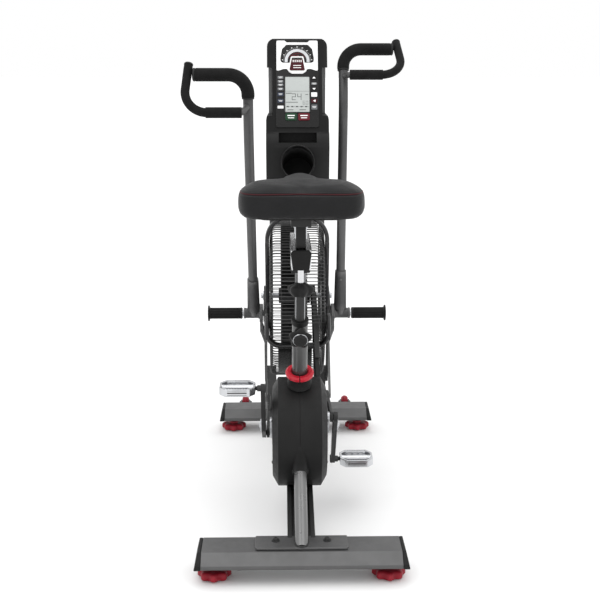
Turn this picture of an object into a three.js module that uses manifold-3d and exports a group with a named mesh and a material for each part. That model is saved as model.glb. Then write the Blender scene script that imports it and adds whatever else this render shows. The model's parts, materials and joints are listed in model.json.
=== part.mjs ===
// An air bike: a stationary bicycle whose pedals and swinging arms drive a caged fan.
// Millimetres, +Z up, +Y the way the rider faces, +X the rider's right; the floor is z = 0.
// Y is measured from the rear edge of the rear stabiliser, and the last lines centre the bike on the origin.
import * as THREE from "three";
import { mergeVertices } from "three/addons/utils/BufferGeometryUtils.js";
import Module from "manifold-3d";

const wasm = await Module();
wasm.setup();

// ---------------------------------------------------------------- driving dimensions
const LENGTH = 1339; // rear stabiliser to the front of the transport wheels
const GAP = 0.3; // between pieces that touch
const SIDES = [-1, 1]; // left, right
const SIDE_NAME = { "-1": "left", 1: "right" };

const STABILISER = { half: 262, rearY: 0, rearDepth: 120, frontY: 1140, frontDepth: 110 };
const LEVELER = { x: 230, radius: 41, lobe: 3.5, lobes: 8, height: 24, top: 44.6, stem: 9 };
const WHEEL = { x: 190, y: 1313, z: 60, radius: 26, width: 26, bore: 5, axle: 4.6 };

const CRANK = { y: 420, z: 290, length: 170, throw: 65, pedalAngle: 123, throwAngle: -39.6 };
const PIVOT = { y: 850, z: 525 }; // axis of the swinging arms and of the foot pegs
const FAN = { y: 958, z: 560, radius: 244, cage: 270, cageHalf: 89, shoulder: 16 };
const HOOP = { outer: 103, wall: 12, top: 858, topRadius: 80, y0: 780, y1: 822.8, splitZ: 770 };
const CRADLE = { bottom: 454, radius: 40, y0: 662, y1: 700, topZ: 540 }; // the hoop's arch under the fan
const PEG = { from: 179, to: 288, radius: 18.5, axle: 10, flange: 26 };
const LEVER_END = { y: -120, z: -253 }; // from the pivot, with the arm at mid swing
const ARM_REST = 11; // degrees that each arm stands from mid swing: left back, right forward
const LOCK_ANGLE = { left: 11, right: -11 };

const SEAT_TUBE = { lean: 20.3, radius: 21.5, bore: 15.4, top: 375, post: 15 }; // lengths from the crank axis
const COLLAR = { from: 158, ringFrom: 185, to: 199, neck: 31, ring: 40 };
const HEIGHT_KNOB = 347; // along the seat tube
const RAIL = { half: 26, y0: 140, y1: 440, z0: 805, z1: 857 };
const SEAT = { y0: 35, y1: 340, half: 160, z0: 947, z1: 1036 };
const SHROUD = { y: 415, z: 274, radius: 158, noseY: 600, noseZ: 285, noseRadius: 62, half: 78, wall: 3.5 };
const BELT = { x0: 51, x1: 63, thickness: 4, crankRadius: 95, fanRadius: 30, slack: 1.4 };
const CONSOLE = { y: 690, z: 1125, tilt: 67.2 };
const CUP = { y: 656, z: 1034, radius: 48, wall: 5, depth: 91 };
// The swinging arm, measured from its pivot at mid swing.
const MAST = { x: 142, kneeY: -215, kneeZ: 660, radius: 14.3 };
const TOP_BAR = { y: -200, z: 820, x: 296 };
const LOOP = { y: -267, z: 729, up: [0.593, 0.805] }; // the lower bar, and the way up the loop
const JOGGLE = { from: 0.16, to: 0.33 }; // shares of the lever over which it steps in towards its rod

// ---------------------------------------------------------------- finishes
const finish = (color, roughness, metalness) => () =>
  new THREE.MeshStandardMaterial({ color, roughness, metalness });
const gunmetal = finish("#55585c", 0.42, 0.6);
const blackSteel = finish("#1b1b1d", 0.5, 0.4);
const blackPlastic = finish("#202022", 0.6, 0);
const rubber = finish("#1a1a1a", 0.85, 0);
const foam = finish("#222223", 0.9, 0);
const redPlastic = finish("#b3141d", 0.4, 0);
const polished = finish("#d9dadd", 0.2, 1);
const vinyl = finish("#2b2b2d", 0.65, 0);
const whitePlastic = finish("#f2f2f2", 0.35, 0);
const lcdGrey = finish("#b9bfba", 0.25, 0);
const keyGreen = finish("#3c7d55", 0.5, 0);
const keyRed = finish("#a12a35", 0.5, 0);

// ---------------------------------------------------------------- solids
const v3 = (x, y, z) => new THREE.Vector3(x, y, z);
const v2 = (a, b) => new THREE.Vector2(a, b);
const radians = THREE.MathUtils.degToRad;

// A closed three.js geometry as a manifold solid.
function solid(geometry) {
  const bare = geometry.clone();
  bare.deleteAttribute("normal");
  bare.deleteAttribute("uv");
  const merged = mergeVertices(bare, 1e-4);
  const triangles = [];
  for (let i = 0; i < merged.index.count; i += 3) {
    const [a, b, c] = [0, 1, 2].map((k) => merged.index.getX(i + k));
    if (a !== b && b !== c && c !== a) triangles.push(a, b, c);
  }
  const vertProperties = new Float32Array(merged.attributes.position.array);
  const make = (triVerts) => new wasm.Manifold(new wasm.Mesh({ numProp: 3, vertProperties, triVerts }));
  const made = make(new Uint32Array(triangles));
  return made.volume() > 0 ? made : make(new Uint32Array(triangles.reverse()));
}

const join = (...solids) => solids.flat().reduce((all, next) => all.add(next));
const cut = (from, ...tools) => tools.flat().reduce((left, tool) => left.subtract(tool), from);

// The solid as a THREE.BufferGeometry.
function geometryOf(made) {
  const { vertProperties, numProp, numVert, triVerts } = made.getMesh();
  const points = new Float32Array(numVert * 3);
  for (let i = 0; i < numVert; i++) points.set(vertProperties.subarray(i * numProp, i * numProp + 3), i * 3);
  const geometry = new THREE.BufferGeometry();
  geometry.setAttribute("position", new THREE.BufferAttribute(points, 3));
  geometry.setIndex(new THREE.BufferAttribute(new Uint32Array(triVerts), 1));
  return geometry;
}

const circle = (radius, sides, y = 0, z = 0) =>
  Array.from({ length: sides }, (_, i) => {
    const a = (2 * Math.PI * (i + 0.5)) / sides;
    return v2(y + radius * Math.cos(a), z + radius * Math.sin(a));
  });

// The outline round two circles: a belt's path, or the shape of a lever.
function capsule(y1, z1, r1, y2, z2, r2, steps = 7) {
  const along = Math.atan2(z2 - z1, y2 - y1);
  const wrap = Math.acos((r1 - r2) / Math.hypot(y2 - y1, z2 - z1));
  const arc = (y, z, r, from, to) =>
    Array.from({ length: steps + 1 }, (_, i) => {
      const a = from + ((to - from) * i) / steps;
      return v2(y + r * Math.cos(a), z + r * Math.sin(a));
    });
  return [
    ...arc(y1, z1, r1, along + wrap, along + 2 * Math.PI - wrap),
    ...arc(y2, z2, r2, along - wrap, along + wrap),
  ];
}

const extruded = (outline, depth) =>
  new THREE.ExtrudeGeometry(new THREE.Shape(outline), { depth, bevelEnabled: false });

// A plate whose outline is drawn in Y and Z, from x0 to x1.
function sidePlate(outline, x0, x1) {
  const geometry = extruded(outline, Math.abs(x1 - x0));
  const place = new THREE.Matrix4().makeBasis(v3(0, 1, 0), v3(0, 0, 1), v3(1, 0, 0));
  return solid(geometry.applyMatrix4(place.setPosition(Math.min(x0, x1), 0, 0)));
}

// A plate whose outline is drawn in X and Z, from y0 to y1.
function crossPlate(outline, y0, y1) {
  const place = new THREE.Matrix4().makeBasis(v3(1, 0, 0), v3(0, 0, 1), v3(0, -1, 0));
  return solid(extruded(outline, y1 - y0).applyMatrix4(place.setPosition(0, y1, 0)));
}

const flatPlate = (outline, z0, z1) => solid(extruded(outline, z1 - z0).translate(0, 0, z0));

function block(x0, x1, y0, y1, z0, z1) {
  const box = new THREE.BoxGeometry(Math.abs(x1 - x0), y1 - y0, z1 - z0);
  return solid(box.translate((x0 + x1) / 2, (y0 + y1) / 2, (z0 + z1) / 2));
}

// A round bar between two points.
function rod(from, to, radius, sides = 16, endRadius = radius) {
  const geometry = new THREE.CylinderGeometry(endRadius, radius, from.distanceTo(to), sides);
  const axis = to.clone().sub(from).normalize();
  geometry.applyQuaternion(new THREE.Quaternion().setFromUnitVectors(v3(0, 1, 0), axis));
  return solid(geometry.translate(...from.clone().add(to).multiplyScalar(0.5).toArray()));
}

const crossRod = (x0, x1, y, z, radius, sides = 16) => rod(v3(x0, y, z), v3(x1, y, z), radius, sides);

// A straight path with round bends, one radius for each inner corner; it has only the stations a sweep needs.
class BentPath extends THREE.Curve {
  constructor(corners, radii, steps = 5) {
    super();
    this.stations = [];
    corners.forEach((corner, i) => {
      const before = i > 0 ? corner.clone().sub(corners[i - 1]).normalize() : null;
      const after = i < corners.length - 1 ? corners[i + 1].clone().sub(corner).normalize() : null;
      if (!before || !after) {
        this.stations.push([corner.clone(), (before || after).clone()]);
        return;
      }
      const turn = before.angleTo(after);
      const radius = radii[i - 1];
      const axis = before.clone().cross(after).normalize();
      const start = corner.clone().addScaledVector(before, -radius * Math.tan(turn / 2));
      const centre = start.clone().addScaledVector(axis.clone().cross(before), radius);
      for (let k = 0; k <= steps; k++) {
        const angle = (turn * k) / steps;
        const point = start.clone().sub(centre).applyAxisAngle(axis, angle).add(centre);
        this.stations.push([point, before.clone().applyAxisAngle(axis, angle)]);
      }
    });
  }
  at(t, which) {
    const place = t * (this.stations.length - 1);
    const i = Math.min(Math.floor(place + 1e-6), this.stations.length - 2);
    return this.stations[i][which].clone().lerp(this.stations[i + 1][which], Math.max(0, place - i));
  }
  getPoint(t) {
    return this.at(t, 0);
  }
  getTangent(t) {
    return this.at(t, 1).normalize();
  }
  getPointAt(t) {
    return this.getPoint(t);
  }
  getTangentAt(t) {
    return this.getTangent(t);
  }
}

function tube(corners, radii, radius, sides = 12, steps = 5) {
  const path = new BentPath(corners, radii, steps);
  const shape = new THREE.Shape(circle(radius, sides));
  return solid(new THREE.ExtrudeGeometry(shape, { extrudePath: path, steps: path.stations.length - 1 }));
}

// ---------------------------------------------------------------- the scene graph
const bike = new THREE.Group();

function add(name, made, material, parent = bike) {
  const mesh = new THREE.Mesh(geometryOf(made), material());
  mesh.name = name;
  parent.add(mesh);
  return mesh;
}

// A point on the seat tube's centre line, at a distance from the crank axis, and off it to the rear.
const seatTubePoint = (distance, rearward = 0) =>
  v3(
    0,
    CRANK.y - distance * Math.sin(radians(SEAT_TUBE.lean)) - rearward * Math.cos(radians(SEAT_TUBE.lean)),
    CRANK.z + distance * Math.cos(radians(SEAT_TUBE.lean)) - rearward * Math.sin(radians(SEAT_TUBE.lean)),
  );

// ---------------------------------------------------------------- stabilisers and feet
// The bar's outline in Y and Z: the edge that faces the rider's back is bevelled low and slopes above.
const barOutline = (y, depth) =>
  [v2(0, 45), v2(depth, 45), v2(depth, 79), v2(depth - 7, 85), v2(30, 83), v2(0, 58)].map((p) =>
    v2(p.x + y, p.y),
  );

function endCaps(end, outline) {
  for (const side of SIDES) {
    const wedge = [v2(0, 45), v2(18, 45), v2(9, 85), v2(0, 85)].map((p) =>
      v2(side * (STABILISER.half + GAP + p.x), p.y),
    );
    const span = outline.map((p) => p.x);
    const cap = crossPlate(side > 0 ? wedge : wedge.reverse(), Math.min(...span) - 1, Math.max(...span) + 1);
    add(`${end}_cap_${SIDE_NAME[side]}`, cap.intersect(sidePlate(outline, -300, 300)), blackPlastic);
  }
}

function rearStabiliser() {
  const outline = barOutline(STABILISER.rearY, STABILISER.rearDepth);
  add("rear_stabiliser", sidePlate(outline, -STABILISER.half, STABILISER.half), gunmetal);
  endCaps("rear", outline);
}

function levelers() {
  const count = LEVELER.lobes * 3;
  const outline = Array.from({ length: count }, (_, i) => {
    const a = (2 * Math.PI * i) / count;
    const r = LEVELER.radius + LEVELER.lobe * Math.cos(LEVELER.lobes * a);
    return v2(r * Math.cos(a), r * Math.sin(a));
  });
  const foot = join(
    flatPlate(outline, 0, LEVELER.height),
    rod(v3(0, 0, LEVELER.height - 1), v3(0, 0, LEVELER.top), LEVELER.stem, 12),
  );
  for (const [end, y] of [["rear", 60], ["front", STABILISER.frontY + 55]])
    for (const side of SIDES) {
      const mesh = add(`leveler_${end}_${SIDE_NAME[side]}`, foot, redPlastic);
      mesh.position.set(side * LEVELER.x, y, 0);
    }
}

function frontStabiliser() {
  const outline = barOutline(STABILISER.frontY, STABILISER.frontDepth);
  const bar = sidePlate(outline, -STABILISER.half, STABILISER.half);
  const face = STABILISER.frontY + STABILISER.frontDepth;
  const forks = SIDES.flatMap((side) => {
    const x = side * WHEEL.x;
    const inner = WHEEL.width / 2 + 0.8;
    const cheek = capsule(face - 6, WHEEL.z, 13, WHEEL.y, WHEEL.z, 12, 4);
    return [
      sidePlate(cheek, x - inner - 4, x - inner),
      sidePlate(cheek, x + inner, x + inner + 4),
      crossRod(x - inner - 4, x + inner + 4, WHEEL.y, WHEEL.z, WHEEL.axle, 12),
    ];
  });
  add("front_stabiliser", join(bar, forks), gunmetal);
  endCaps("front", outline);
  for (const side of SIDES) {
    const half = WHEEL.width / 2;
    const profile = [
      v2(WHEEL.bore, -half), v2(WHEEL.radius - 3, -half), v2(WHEEL.radius, -half + 4),
      v2(WHEEL.radius, half - 4), v2(WHEEL.radius - 3, half), v2(WHEEL.bore, half), v2(WHEEL.bore, -half),
    ];
    const tyre = new THREE.LatheGeometry(profile, 20).rotateZ(Math.PI / 2);
    const mesh = add(`transport_wheel_${SIDE_NAME[side]}`, solid(tyre), redPlastic);
    mesh.position.set(side * WHEEL.x, WHEEL.y, WHEEL.z);
  }
}

// ---------------------------------------------------------------- frame
function rearTube() {
  const corners = [v2(-122, 36), v2(122, 36), v2(104, 108), v2(-104, 108)];
  const plate = flatPlate(corners, 85 + GAP, 91);
  const main = rod(v3(0, 62, 86), v3(0, 372, 272), 17.5, 20);
  const struts = SIDES.map((side) => {
    const outline = [v2(92, 86), v2(108, 86), v2(392, 116), v2(392, 130), v2(330, 134)];
    return sidePlate(outline, side * 25, side * 37);
  });
  const bolts = SIDES.map((side) => rod(v3(side * 68, 78, 90), v3(side * 68, 78, 97), 7, 12));
  add("rear_tube", cut(join(plate, main, struts, bolts), block(-300, 300, 0, 200, 60, 85 + GAP)), gunmetal);
}

function frameSpine() {
  const shell = crossRod(-44, 44, CRANK.y, CRANK.z, 27, 24);
  const seatTube = rod(seatTubePoint(0), seatTubePoint(SEAT_TUBE.top), SEAT_TUBE.radius, 16);
  const upper = sidePlate([v2(395, 330), v2(430, 330), v2(672, 418), v2(672, 452), v2(395, 378)], -20, 20);
  const lower = sidePlate([v2(430, 240), v2(1139.5, 62), v2(1139.5, 80), v2(440, 300)], -20, 20);
  const bore = rod(seatTubePoint(95), seatTubePoint(SEAT_TUBE.top + 5), SEAT_TUBE.bore, 16);
  const axle = crossRod(-60, 60, CRANK.y, CRANK.z, 11.5, 24);
  const rearEnd = rod(v3(0, 62, 86), v3(0, 372.4, 272.3), 18, 20);
  add("frame_spine", cut(join(shell, seatTube, upper, lower), bore, axle, rearEnd), gunmetal);
}

function hoopFrame() {
  // A flat oval tube that stands round the fan: two sides, an arch over the top, one under the rear.
  const arch = (half, crown, foot, bend) => {
    const outline = [];
    for (const [x, start] of [[half - bend, 0], [bend - half, Math.PI / 2]])
      for (let k = 0; k <= 6; k++) {
        const a = start + (k * Math.PI) / 12;
        outline.push(v2(x + bend * Math.cos(a), crown - bend + bend * Math.sin(a)));
      }
    outline.push(v2(-half, foot), v2(half, foot));
    return outline;
  };
  const { outer, wall, top, topRadius, splitZ } = HOOP;
  const over = cut(
    crossPlate(arch(outer, top, splitZ, topRadius), HOOP.y0, HOOP.y1),
    crossPlate(arch(outer - wall, top - wall, splitZ - 70, topRadius - wall), HOOP.y0 - 10, HOOP.y1 + 8),
  );
  const flip = (outline) => outline.map((p) => v2(p.x, -p.y)).reverse();
  const { bottom, radius, topZ } = CRADLE;
  const under = cut(
    crossPlate(flip(arch(outer, -bottom, -topZ, radius)), CRADLE.y0, CRADLE.y1),
    crossPlate(
      flip(arch(outer - wall, -bottom - wall, -topZ - 60, radius - wall)),
      CRADLE.y0 - 10,
      CRADLE.y1 + 10,
    ),
  );
  const side = [
    v2(780, 772), v2(828, 560), v2(815, 548), v2(662, 520), v2(662, 480), v2(700, 480), v2(840, 492),
    v2(875, 500), v2(880, 530), v2(862, 600), v2(820, 772),
  ];
  const sides = SIDES.map((s) => sidePlate(side, s * (outer - wall), s * outer));
  add("hoop_frame", join(over, under, sides), gunmetal);
}

function frontLegs() {
  for (const s of SIDES) {
    const web = join(
      sidePlate(capsule(PIVOT.y, PIVOT.z, 30, FAN.y, FAN.z, 34), s * 103.4, s * 110),
      sidePlate(capsule(FAN.y - 8, FAN.z, 34, 1012, 262, 22), s * 103.4, s * 110),
    );
    const slot = sidePlate(capsule(985, 405, 8, 1000, 320, 8, 6), s * 100, s * 115);
    const shank = [v2(985, 284), v2(1030, 292), v2(1205, 106), v2(1205, 85.4), v2(1160, 85.4)];
    const leg = sidePlate(shank, s * 70, s * 104);
    const axle = crossRod(s * 95, s * 120, FAN.y, FAN.z, 8.4, 16);
    add(`front_leg_${SIDE_NAME[s]}`, cut(join(web, leg), slot, axle), blackSteel);
  }
}

// ---------------------------------------------------------------- drive covers, belt and fan
function shrouds() {
  const outline = (grow) =>
    capsule(SHROUD.y, SHROUD.z, SHROUD.radius + grow, SHROUD.noseY, SHROUD.noseZ, SHROUD.noseRadius + grow, 13);
  const chamfered = (x0, x1, x2, grow) =>
    join(
      sidePlate(outline(grow), x0, x1),
      sidePlate(outline(grow - 7), x1 - Math.sign(x1) * 0.5, x2),
    );
  const tubeRun = [v3(0, 62, 86), v3(0, 400, 288.8)];
  for (const s of SIDES) {
    const body = chamfered(s * GAP, s * 66, s * SHROUD.half, 0);
    const boss = rod(v3(0, 262, 206), v3(0, 330, 246.8), 21.5, 20).intersect(
      block(s * GAP, s * 60, 200, 400, 100, 300),
    );
    const hollow = join(
      sidePlate(outline(-SHROUD.wall), 0, s * 63),
      sidePlate(outline(-SHROUD.wall - 7), s * 62, s * (SHROUD.half - SHROUD.wall)),
    );
    const beamAway = sidePlate([v2(395, 320), v2(680, 408), v2(680, 462), v2(395, 388)], -20.6, 20.6);
    const lowerAway = sidePlate([v2(400, 240), v2(900, 117), v2(900, 158), v2(400, 318)], -20.6, 20.6);
    const tools = [
      hollow,
      rod(...tubeRun, 18, 20),
      rod(seatTubePoint(0), seatTubePoint(260), SEAT_TUBE.radius + 0.6, 16),
      crossRod(0, s * 90, CRANK.y, CRANK.z, 14, 20),
      beamAway,
      lowerAway,
      block(s * 24.6, s * 37.4, 300, 396, 100, 140),
    ];
    if (s > 0) tools.push(block(47, 68, 470, 700, 300, 480));
    add(`shroud_${SIDE_NAME[s]}`, cut(join(body, boss), tools), blackPlastic);
  }
}

function seatCollar() {
  // A clamp ring on a short neck, slit at the rear.
  const neck = rod(seatTubePoint(COLLAR.from), seatTubePoint(COLLAR.ringFrom + 1), COLLAR.neck, 24);
  const ring = rod(seatTubePoint(COLLAR.ringFrom), seatTubePoint(COLLAR.to), COLLAR.ring, 28);
  const clear = SEAT_TUBE.radius + 2 * GAP;
  const bore = rod(seatTubePoint(COLLAR.from - 5), seatTubePoint(COLLAR.to + 5), clear, 16);
  const slit = block(-1.5, 1.5, 200, 345, 400, 560);
  add("seat_collar", cut(join(neck, ring), bore, slit), redPlastic);
}

// The belt and the strip over it pass through the grille inside this outline.
const beltWay = () => {
  const outline = capsule(CRANK.y, CRANK.z, BELT.crankRadius + 17, FAN.y, FAN.z, BELT.fanRadius + 17);
  return sidePlate(outline, BELT.x0 - 5, BELT.x1 + 6);
};

function beltDrive() {
  const { crankRadius, fanRadius, thickness, slack, x0, x1 } = BELT;
  const run = (grow) => capsule(CRANK.y, CRANK.z, crankRadius + grow, FAN.y, FAN.z, fanRadius + grow, 12);
  add("drive_belt", cut(sidePlate(run(thickness), x0, x1), sidePlate(run(0), x0 - 1, x1 + 1)), rubber);
  const pulley = (y, z, radius, bore) =>
    cut(
      join(
        crossRod(x0 - GAP, x1, y, z, radius - slack, 28),
        crossRod(x0 - 3, x0 - GAP, y, z, radius + 4, 28),
      ),
      crossRod(x0 - 5, x1 + 5, y, z, bore),
    );
  const holes = Array.from({ length: 5 }, (_, i) => {
    const a = (2 * Math.PI * i) / 5;
    return crossRod(x0 - 5, x1 + 5, CRANK.y + 55 * Math.cos(a), CRANK.z + 55 * Math.sin(a), 21, 10);
  });
  add("drive_pulley", cut(pulley(CRANK.y, CRANK.z, crankRadius, 11.4), holes), blackSteel);
  add("fan_pulley", pulley(FAN.y, FAN.z, fanRadius, 8.4), blackSteel);
  // A strip over the belt's upper run, from the cover to the fan hub.
  const over = capsule(CRANK.y, CRANK.z, crankRadius + 13, FAN.y, FAN.z, fanRadius + 13);
  const under = capsule(CRANK.y, CRANK.z, crankRadius + 9, FAN.y, FAN.z, fanRadius + 9);
  const keep = sidePlate([v2(560, 330), v2(900, 500), v2(905, 640), v2(560, 520)], x0 - 5, x1 + 5);
  const strip = cut(sidePlate(over, x0 - 1, x1 + 3), sidePlate(under, x0 - 2, x1 + 4));
  add("belt_guard", strip.intersect(keep), gunmetal);
}

function fan() {
  const blades = 12;
  const x0 = -53;
  const x1 = 31;
  const ringOf = (xa, xb, outer, inner) =>
    cut(crossRod(xa, xb, 0, 0, outer, 24), crossRod(xa - 1, xb + 1, 0, 0, inner, 24));
  const vane = block(x0, x1, 60, FAN.radius - 2, -1.5, 1.5);
  const vanes = Array.from({ length: blades }, (_, i) => vane.rotate([(360 * i) / blades, 0, 0]));
  const hub = crossRod(-60, 46, 0, 0, 26);
  const disc = crossRod(-12, -9, 0, 0, 70, 24);
  const body = cut(
    join(
      hub,
      disc,
      vanes,
      ringOf(x0, x0 + 3, FAN.radius, FAN.radius - 14),
      ringOf(x1 - 3, x1, FAN.radius, FAN.radius - 14),
    ),
    crossRod(-70, 70, 0, 0, 8.4),
  );
  const wheel = add("fan_wheel", body, blackSteel);
  wheel.position.set(0, FAN.y, FAN.z);
  add("fan_axle", crossRod(-112, 112, FAN.y, FAN.z, 8), polished);
}

function fanGuards() {
  // Each half is a grille of bars that run out from the hub and turn across to the middle.
  const ribs = 16;
  const { cage, cageHalf, shoulder } = FAN;
  const bar = 4;
  // A plate through the fan's axis, drawn as distance across and distance out.
  const radialPlate = (outline, thickness) => {
    const place = new THREE.Matrix4().makeBasis(v3(1, 0, 0), v3(0, 1, 0), v3(0, 0, 1));
    return solid(extruded(outline, thickness).applyMatrix4(place.setPosition(0, 0, -thickness / 2)));
  };
  for (const s of SIDES) {
    const x = (a, b) => [Math.min(s * a, s * b), Math.max(s * a, s * b)];
    const ringOf = (a, b, outer, inner) =>
      cut(crossRod(...x(a, b), 0, 0, outer, 32), crossRod(...x(a - 1, b + 1), 0, 0, inner, 32));
    const outer = [
      [0, cage - 1], [cageHalf - shoulder, cage - 1], [cageHalf, cage - 1 - shoulder], [cageHalf, 30],
    ];
    const inner = [
      [cageHalf - bar, 30], [cageHalf - bar, cage - shoulder - 3], [cageHalf - shoulder - 2, cage - bar - 1],
      [0, cage - bar - 1],
    ];
    const bent = [...outer, ...inner].map(([across, out]) => v2(s * Math.max(across, 1), out));
    const spoke = radialPlate(s > 0 ? bent : bent.reverse(), bar);
    const spokes = Array.from({ length: ribs }, (_, i) => spoke.rotate([(360 * (i + 0.5)) / ribs, 0, 0]));
    const rim = ringOf(GAP, 5, cage, cage - 6);
    const plate = ringOf(cageHalf - bar - 1, cageHalf, 46, 11);
    const whole = join(rim, plate, spokes).translate([0, FAN.y, FAN.z]);
    add(`fan_guard_${SIDE_NAME[s]}`, s > 0 ? cut(whole, beltWay()) : whole, blackSteel);
  }
  const arc = (radius) =>
    Array.from({ length: 9 }, (_, i) => {
      const a = radians(204 + (31 * i) / 8);
      return v2(FAN.y + radius * Math.cos(a), FAN.z + radius * Math.sin(a));
    });
  const sheet = [...arc(FAN.cage + 4), ...arc(FAN.cage + 7).reverse()];
  add("fan_deflector", sidePlate(sheet, -62, 46), blackPlastic);
}

// ---------------------------------------------------------------- crank and pedals
function crankSide(s) {
  const name = SIDE_NAME[s];
  const half = s > 0 ? 180 : 0;
  const polar = (angle, radius) => {
    const a = radians(angle + half);
    return { y: CRANK.y + radius * Math.cos(a), z: CRANK.z + radius * Math.sin(a) };
  };
  const pedal = polar(CRANK.pedalAngle, CRANK.length);
  const pin = polar(CRANK.throwAngle, CRANK.throw);
  const arm = join(
    sidePlate(capsule(CRANK.y, CRANK.z, 21, pedal.y, pedal.z, 13), s * 98, s * 110),
    sidePlate(capsule(CRANK.y, CRANK.z, 20.5, pin.y, pin.z, 15), s * 98.2, s * 109.5),
    crossRod(s * 86.4, s * 100, pin.y, pin.z, 8, 16),
    crossRod(s * 108, s * 221, pedal.y, pedal.z, 6, 12),
  );
  add(`crank_arm_${name}`, arm, blackSteel);
  const web = sidePlate(capsule(CRANK.y, CRANK.z, 24, pin.y, pin.z, 16), s * 80, s * 86);

  // The pedal is a cast cage: two treads, two ends and a barrel that turns on the spindle.
  const barrel = crossRod(s * 124, s * 226, 0, 0, 11, 12);
  const frame = cut(block(s * 126, s * 224, -46, 46, -11, 11), block(s * 134, s * 216, -36, 36, -20, 20));
  const bridges = [155, 195].map((x) => block(s * (x - 4), s * (x + 4), -38, 38, -8, 8));
  const bore = crossRod(s * 120, s * 222.5, 0, 0, 6.6, 12);
  const cage = cut(join(barrel, frame, bridges), bore);
  add(`pedal_${name}`, cage.translate([0, pedal.y, pedal.z]), polished);
  return { web, pin };
}

function rods(side, pin) {
  const name = SIDE_NAME[side];
  const swing = radians(LOCK_ANGLE[name]);
  const end = {
    y: PIVOT.y + LEVER_END.y * Math.cos(swing) - LEVER_END.z * Math.sin(swing),
    z: PIVOT.z + LEVER_END.y * Math.sin(swing) + LEVER_END.z * Math.cos(swing),
  };
  const bar = join(
    sidePlate(capsule(pin.y, pin.z, 15, end.y, end.z, 12), side * 88, side * 96),
    crossRod(side * 94, side * 97.4, end.y, end.z, 7, 12),
  );
  add(`connecting_rod_${name}`, cut(bar, crossRod(side * 80, side * 100, pin.y, pin.z, 8.5, 16)), blackSteel);
}

function crank() {
  const left = crankSide(-1);
  const right = crankSide(1);
  const axle = join(crossRod(-81, 81, CRANK.y, CRANK.z, 11), left.web, right.web);
  add("crank_axle", axle, polished);
  rods(-1, left.pin);
  rods(1, right.pin);
}

// ---------------------------------------------------------------- swinging arms, handlebars and pegs
function arms() {
  const loop = (s, x, up) => v3(s * x, LOOP.y + up * LOOP.up[0], LOOP.z + up * LOOP.up[1]);
  for (const s of SIDES) {
    const name = SIDE_NAME[s];
    const arm = new THREE.Group();
    arm.position.set(0, PIVOT.y, PIVOT.z);
    arm.rotation.x = radians(-s * ARM_REST);
    bike.add(arm);
    const mastAt = (z) => v3(s * MAST.x, (MAST.kneeY * z) / MAST.kneeZ, z);
    // The lever hangs beside the hoop's outer face, then steps in to its rod.
    const onLever = (share, radius) => [LEVER_END.y * share, LEVER_END.z * share, radius];
    const disc = (share, radius, x0, x1) => crossRod(s * x0, s * x1, ...onLever(share, radius), 14);
    const step = [disc(JOGGLE.from, 17, 113, 121), disc(JOGGLE.to, 15, 98.4, 104.6)];
    const lever = join(
      sidePlate(capsule(0, 0, 24, ...onLever(JOGGLE.from, 19)), s * 112.6, s * 121.4),
      wasm.Manifold.hull(step),
      sidePlate(capsule(...onLever(JOGGLE.to, 17), ...onLever(1, 14)), s * 98, s * 105),
    );
    const steel = join(
      crossRod(s * 112, s * 123, 0, 0, 30, 20),
      crossRod(s * 120, s * 175, 0, 0, 16.5),
      lever,
      rod(mastAt(0), mastAt(140), 18),
    );
    const bores = [crossRod(s * 100, s * 180, 0, 0, 10.5), rod(mastAt(38), mastAt(150), 14.8)];
    add(`arm_${name}`, cut(steel, bores), gunmetal, arm);

    const knee = mastAt(MAST.kneeZ);
    const topCorner = v3(s * MAST.x, TOP_BAR.y, TOP_BAR.z);
    const topEnd = v3(s * TOP_BAR.x, TOP_BAR.y, TOP_BAR.z);
    const mast = tube([mastAt(40), knee, topCorner, topEnd], [260, 55], MAST.radius, 14);
    const lowPath = [loop(s, 307, 143), loop(s, 322.5, 0), loop(s, 156, 0), v3(s * 146, -222, 734)];
    const lowBar = tube(lowPath, [62, 14], 9, 10);
    add(`handlebar_${name}`, join(mast, lowBar), gunmetal, arm);

    const gripStart = knee.clone().lerp(topCorner, 0.6);
    const gripEnd = v3(s * 291, TOP_BAR.y, TOP_BAR.z);
    const topGrip = cut(
      tube([gripStart, topCorner, gripEnd], [55], 18.5, 14),
      tube([knee.clone().lerp(topCorner, 0.5), topCorner, topEnd], [55], MAST.radius + 0.5, 14),
      tube(lowPath, [62, 14], 12, 8),
    );
    add(`top_grip_${name}`, topGrip, foam, arm);

    const lowGrip = cut(
      join(
        tube([loop(s, 306.6, 147), loop(s, 322.5, 0), loop(s, 160, 0)], [62], 12.5, 12),
        tube([loop(s, 258, 0), loop(s, 160, 0)], [], 15, 12),
      ),
      tube(lowPath, [62, 14], 9.5, 10),
      crossRod(s * 250, s * 304, TOP_BAR.y, TOP_BAR.z, 15, 14),
    );
    add(`lower_grip_${name}`, lowGrip, foam, arm);

    add(`peg_axle_${name}`, crossRod(s * 110.4, s * (PEG.to - 3), PIVOT.y, PIVOT.z, PEG.axle), polished);
    const peg = join(
      crossRod(s * PEG.from, s * PEG.to, PIVOT.y, PIVOT.z, PEG.radius),
      crossRod(s * (PEG.to - 1), s * (PEG.to + 4), PIVOT.y, PIVOT.z, PEG.flange, 20),
    );
    const socket = crossRod(s * (PEG.from - 9), s * (PEG.to - 2.5), PIVOT.y, PIVOT.z, PEG.axle + 0.4);
    add(`foot_peg_${name}`, cut(peg, socket), rubber);
  }
}

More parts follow.
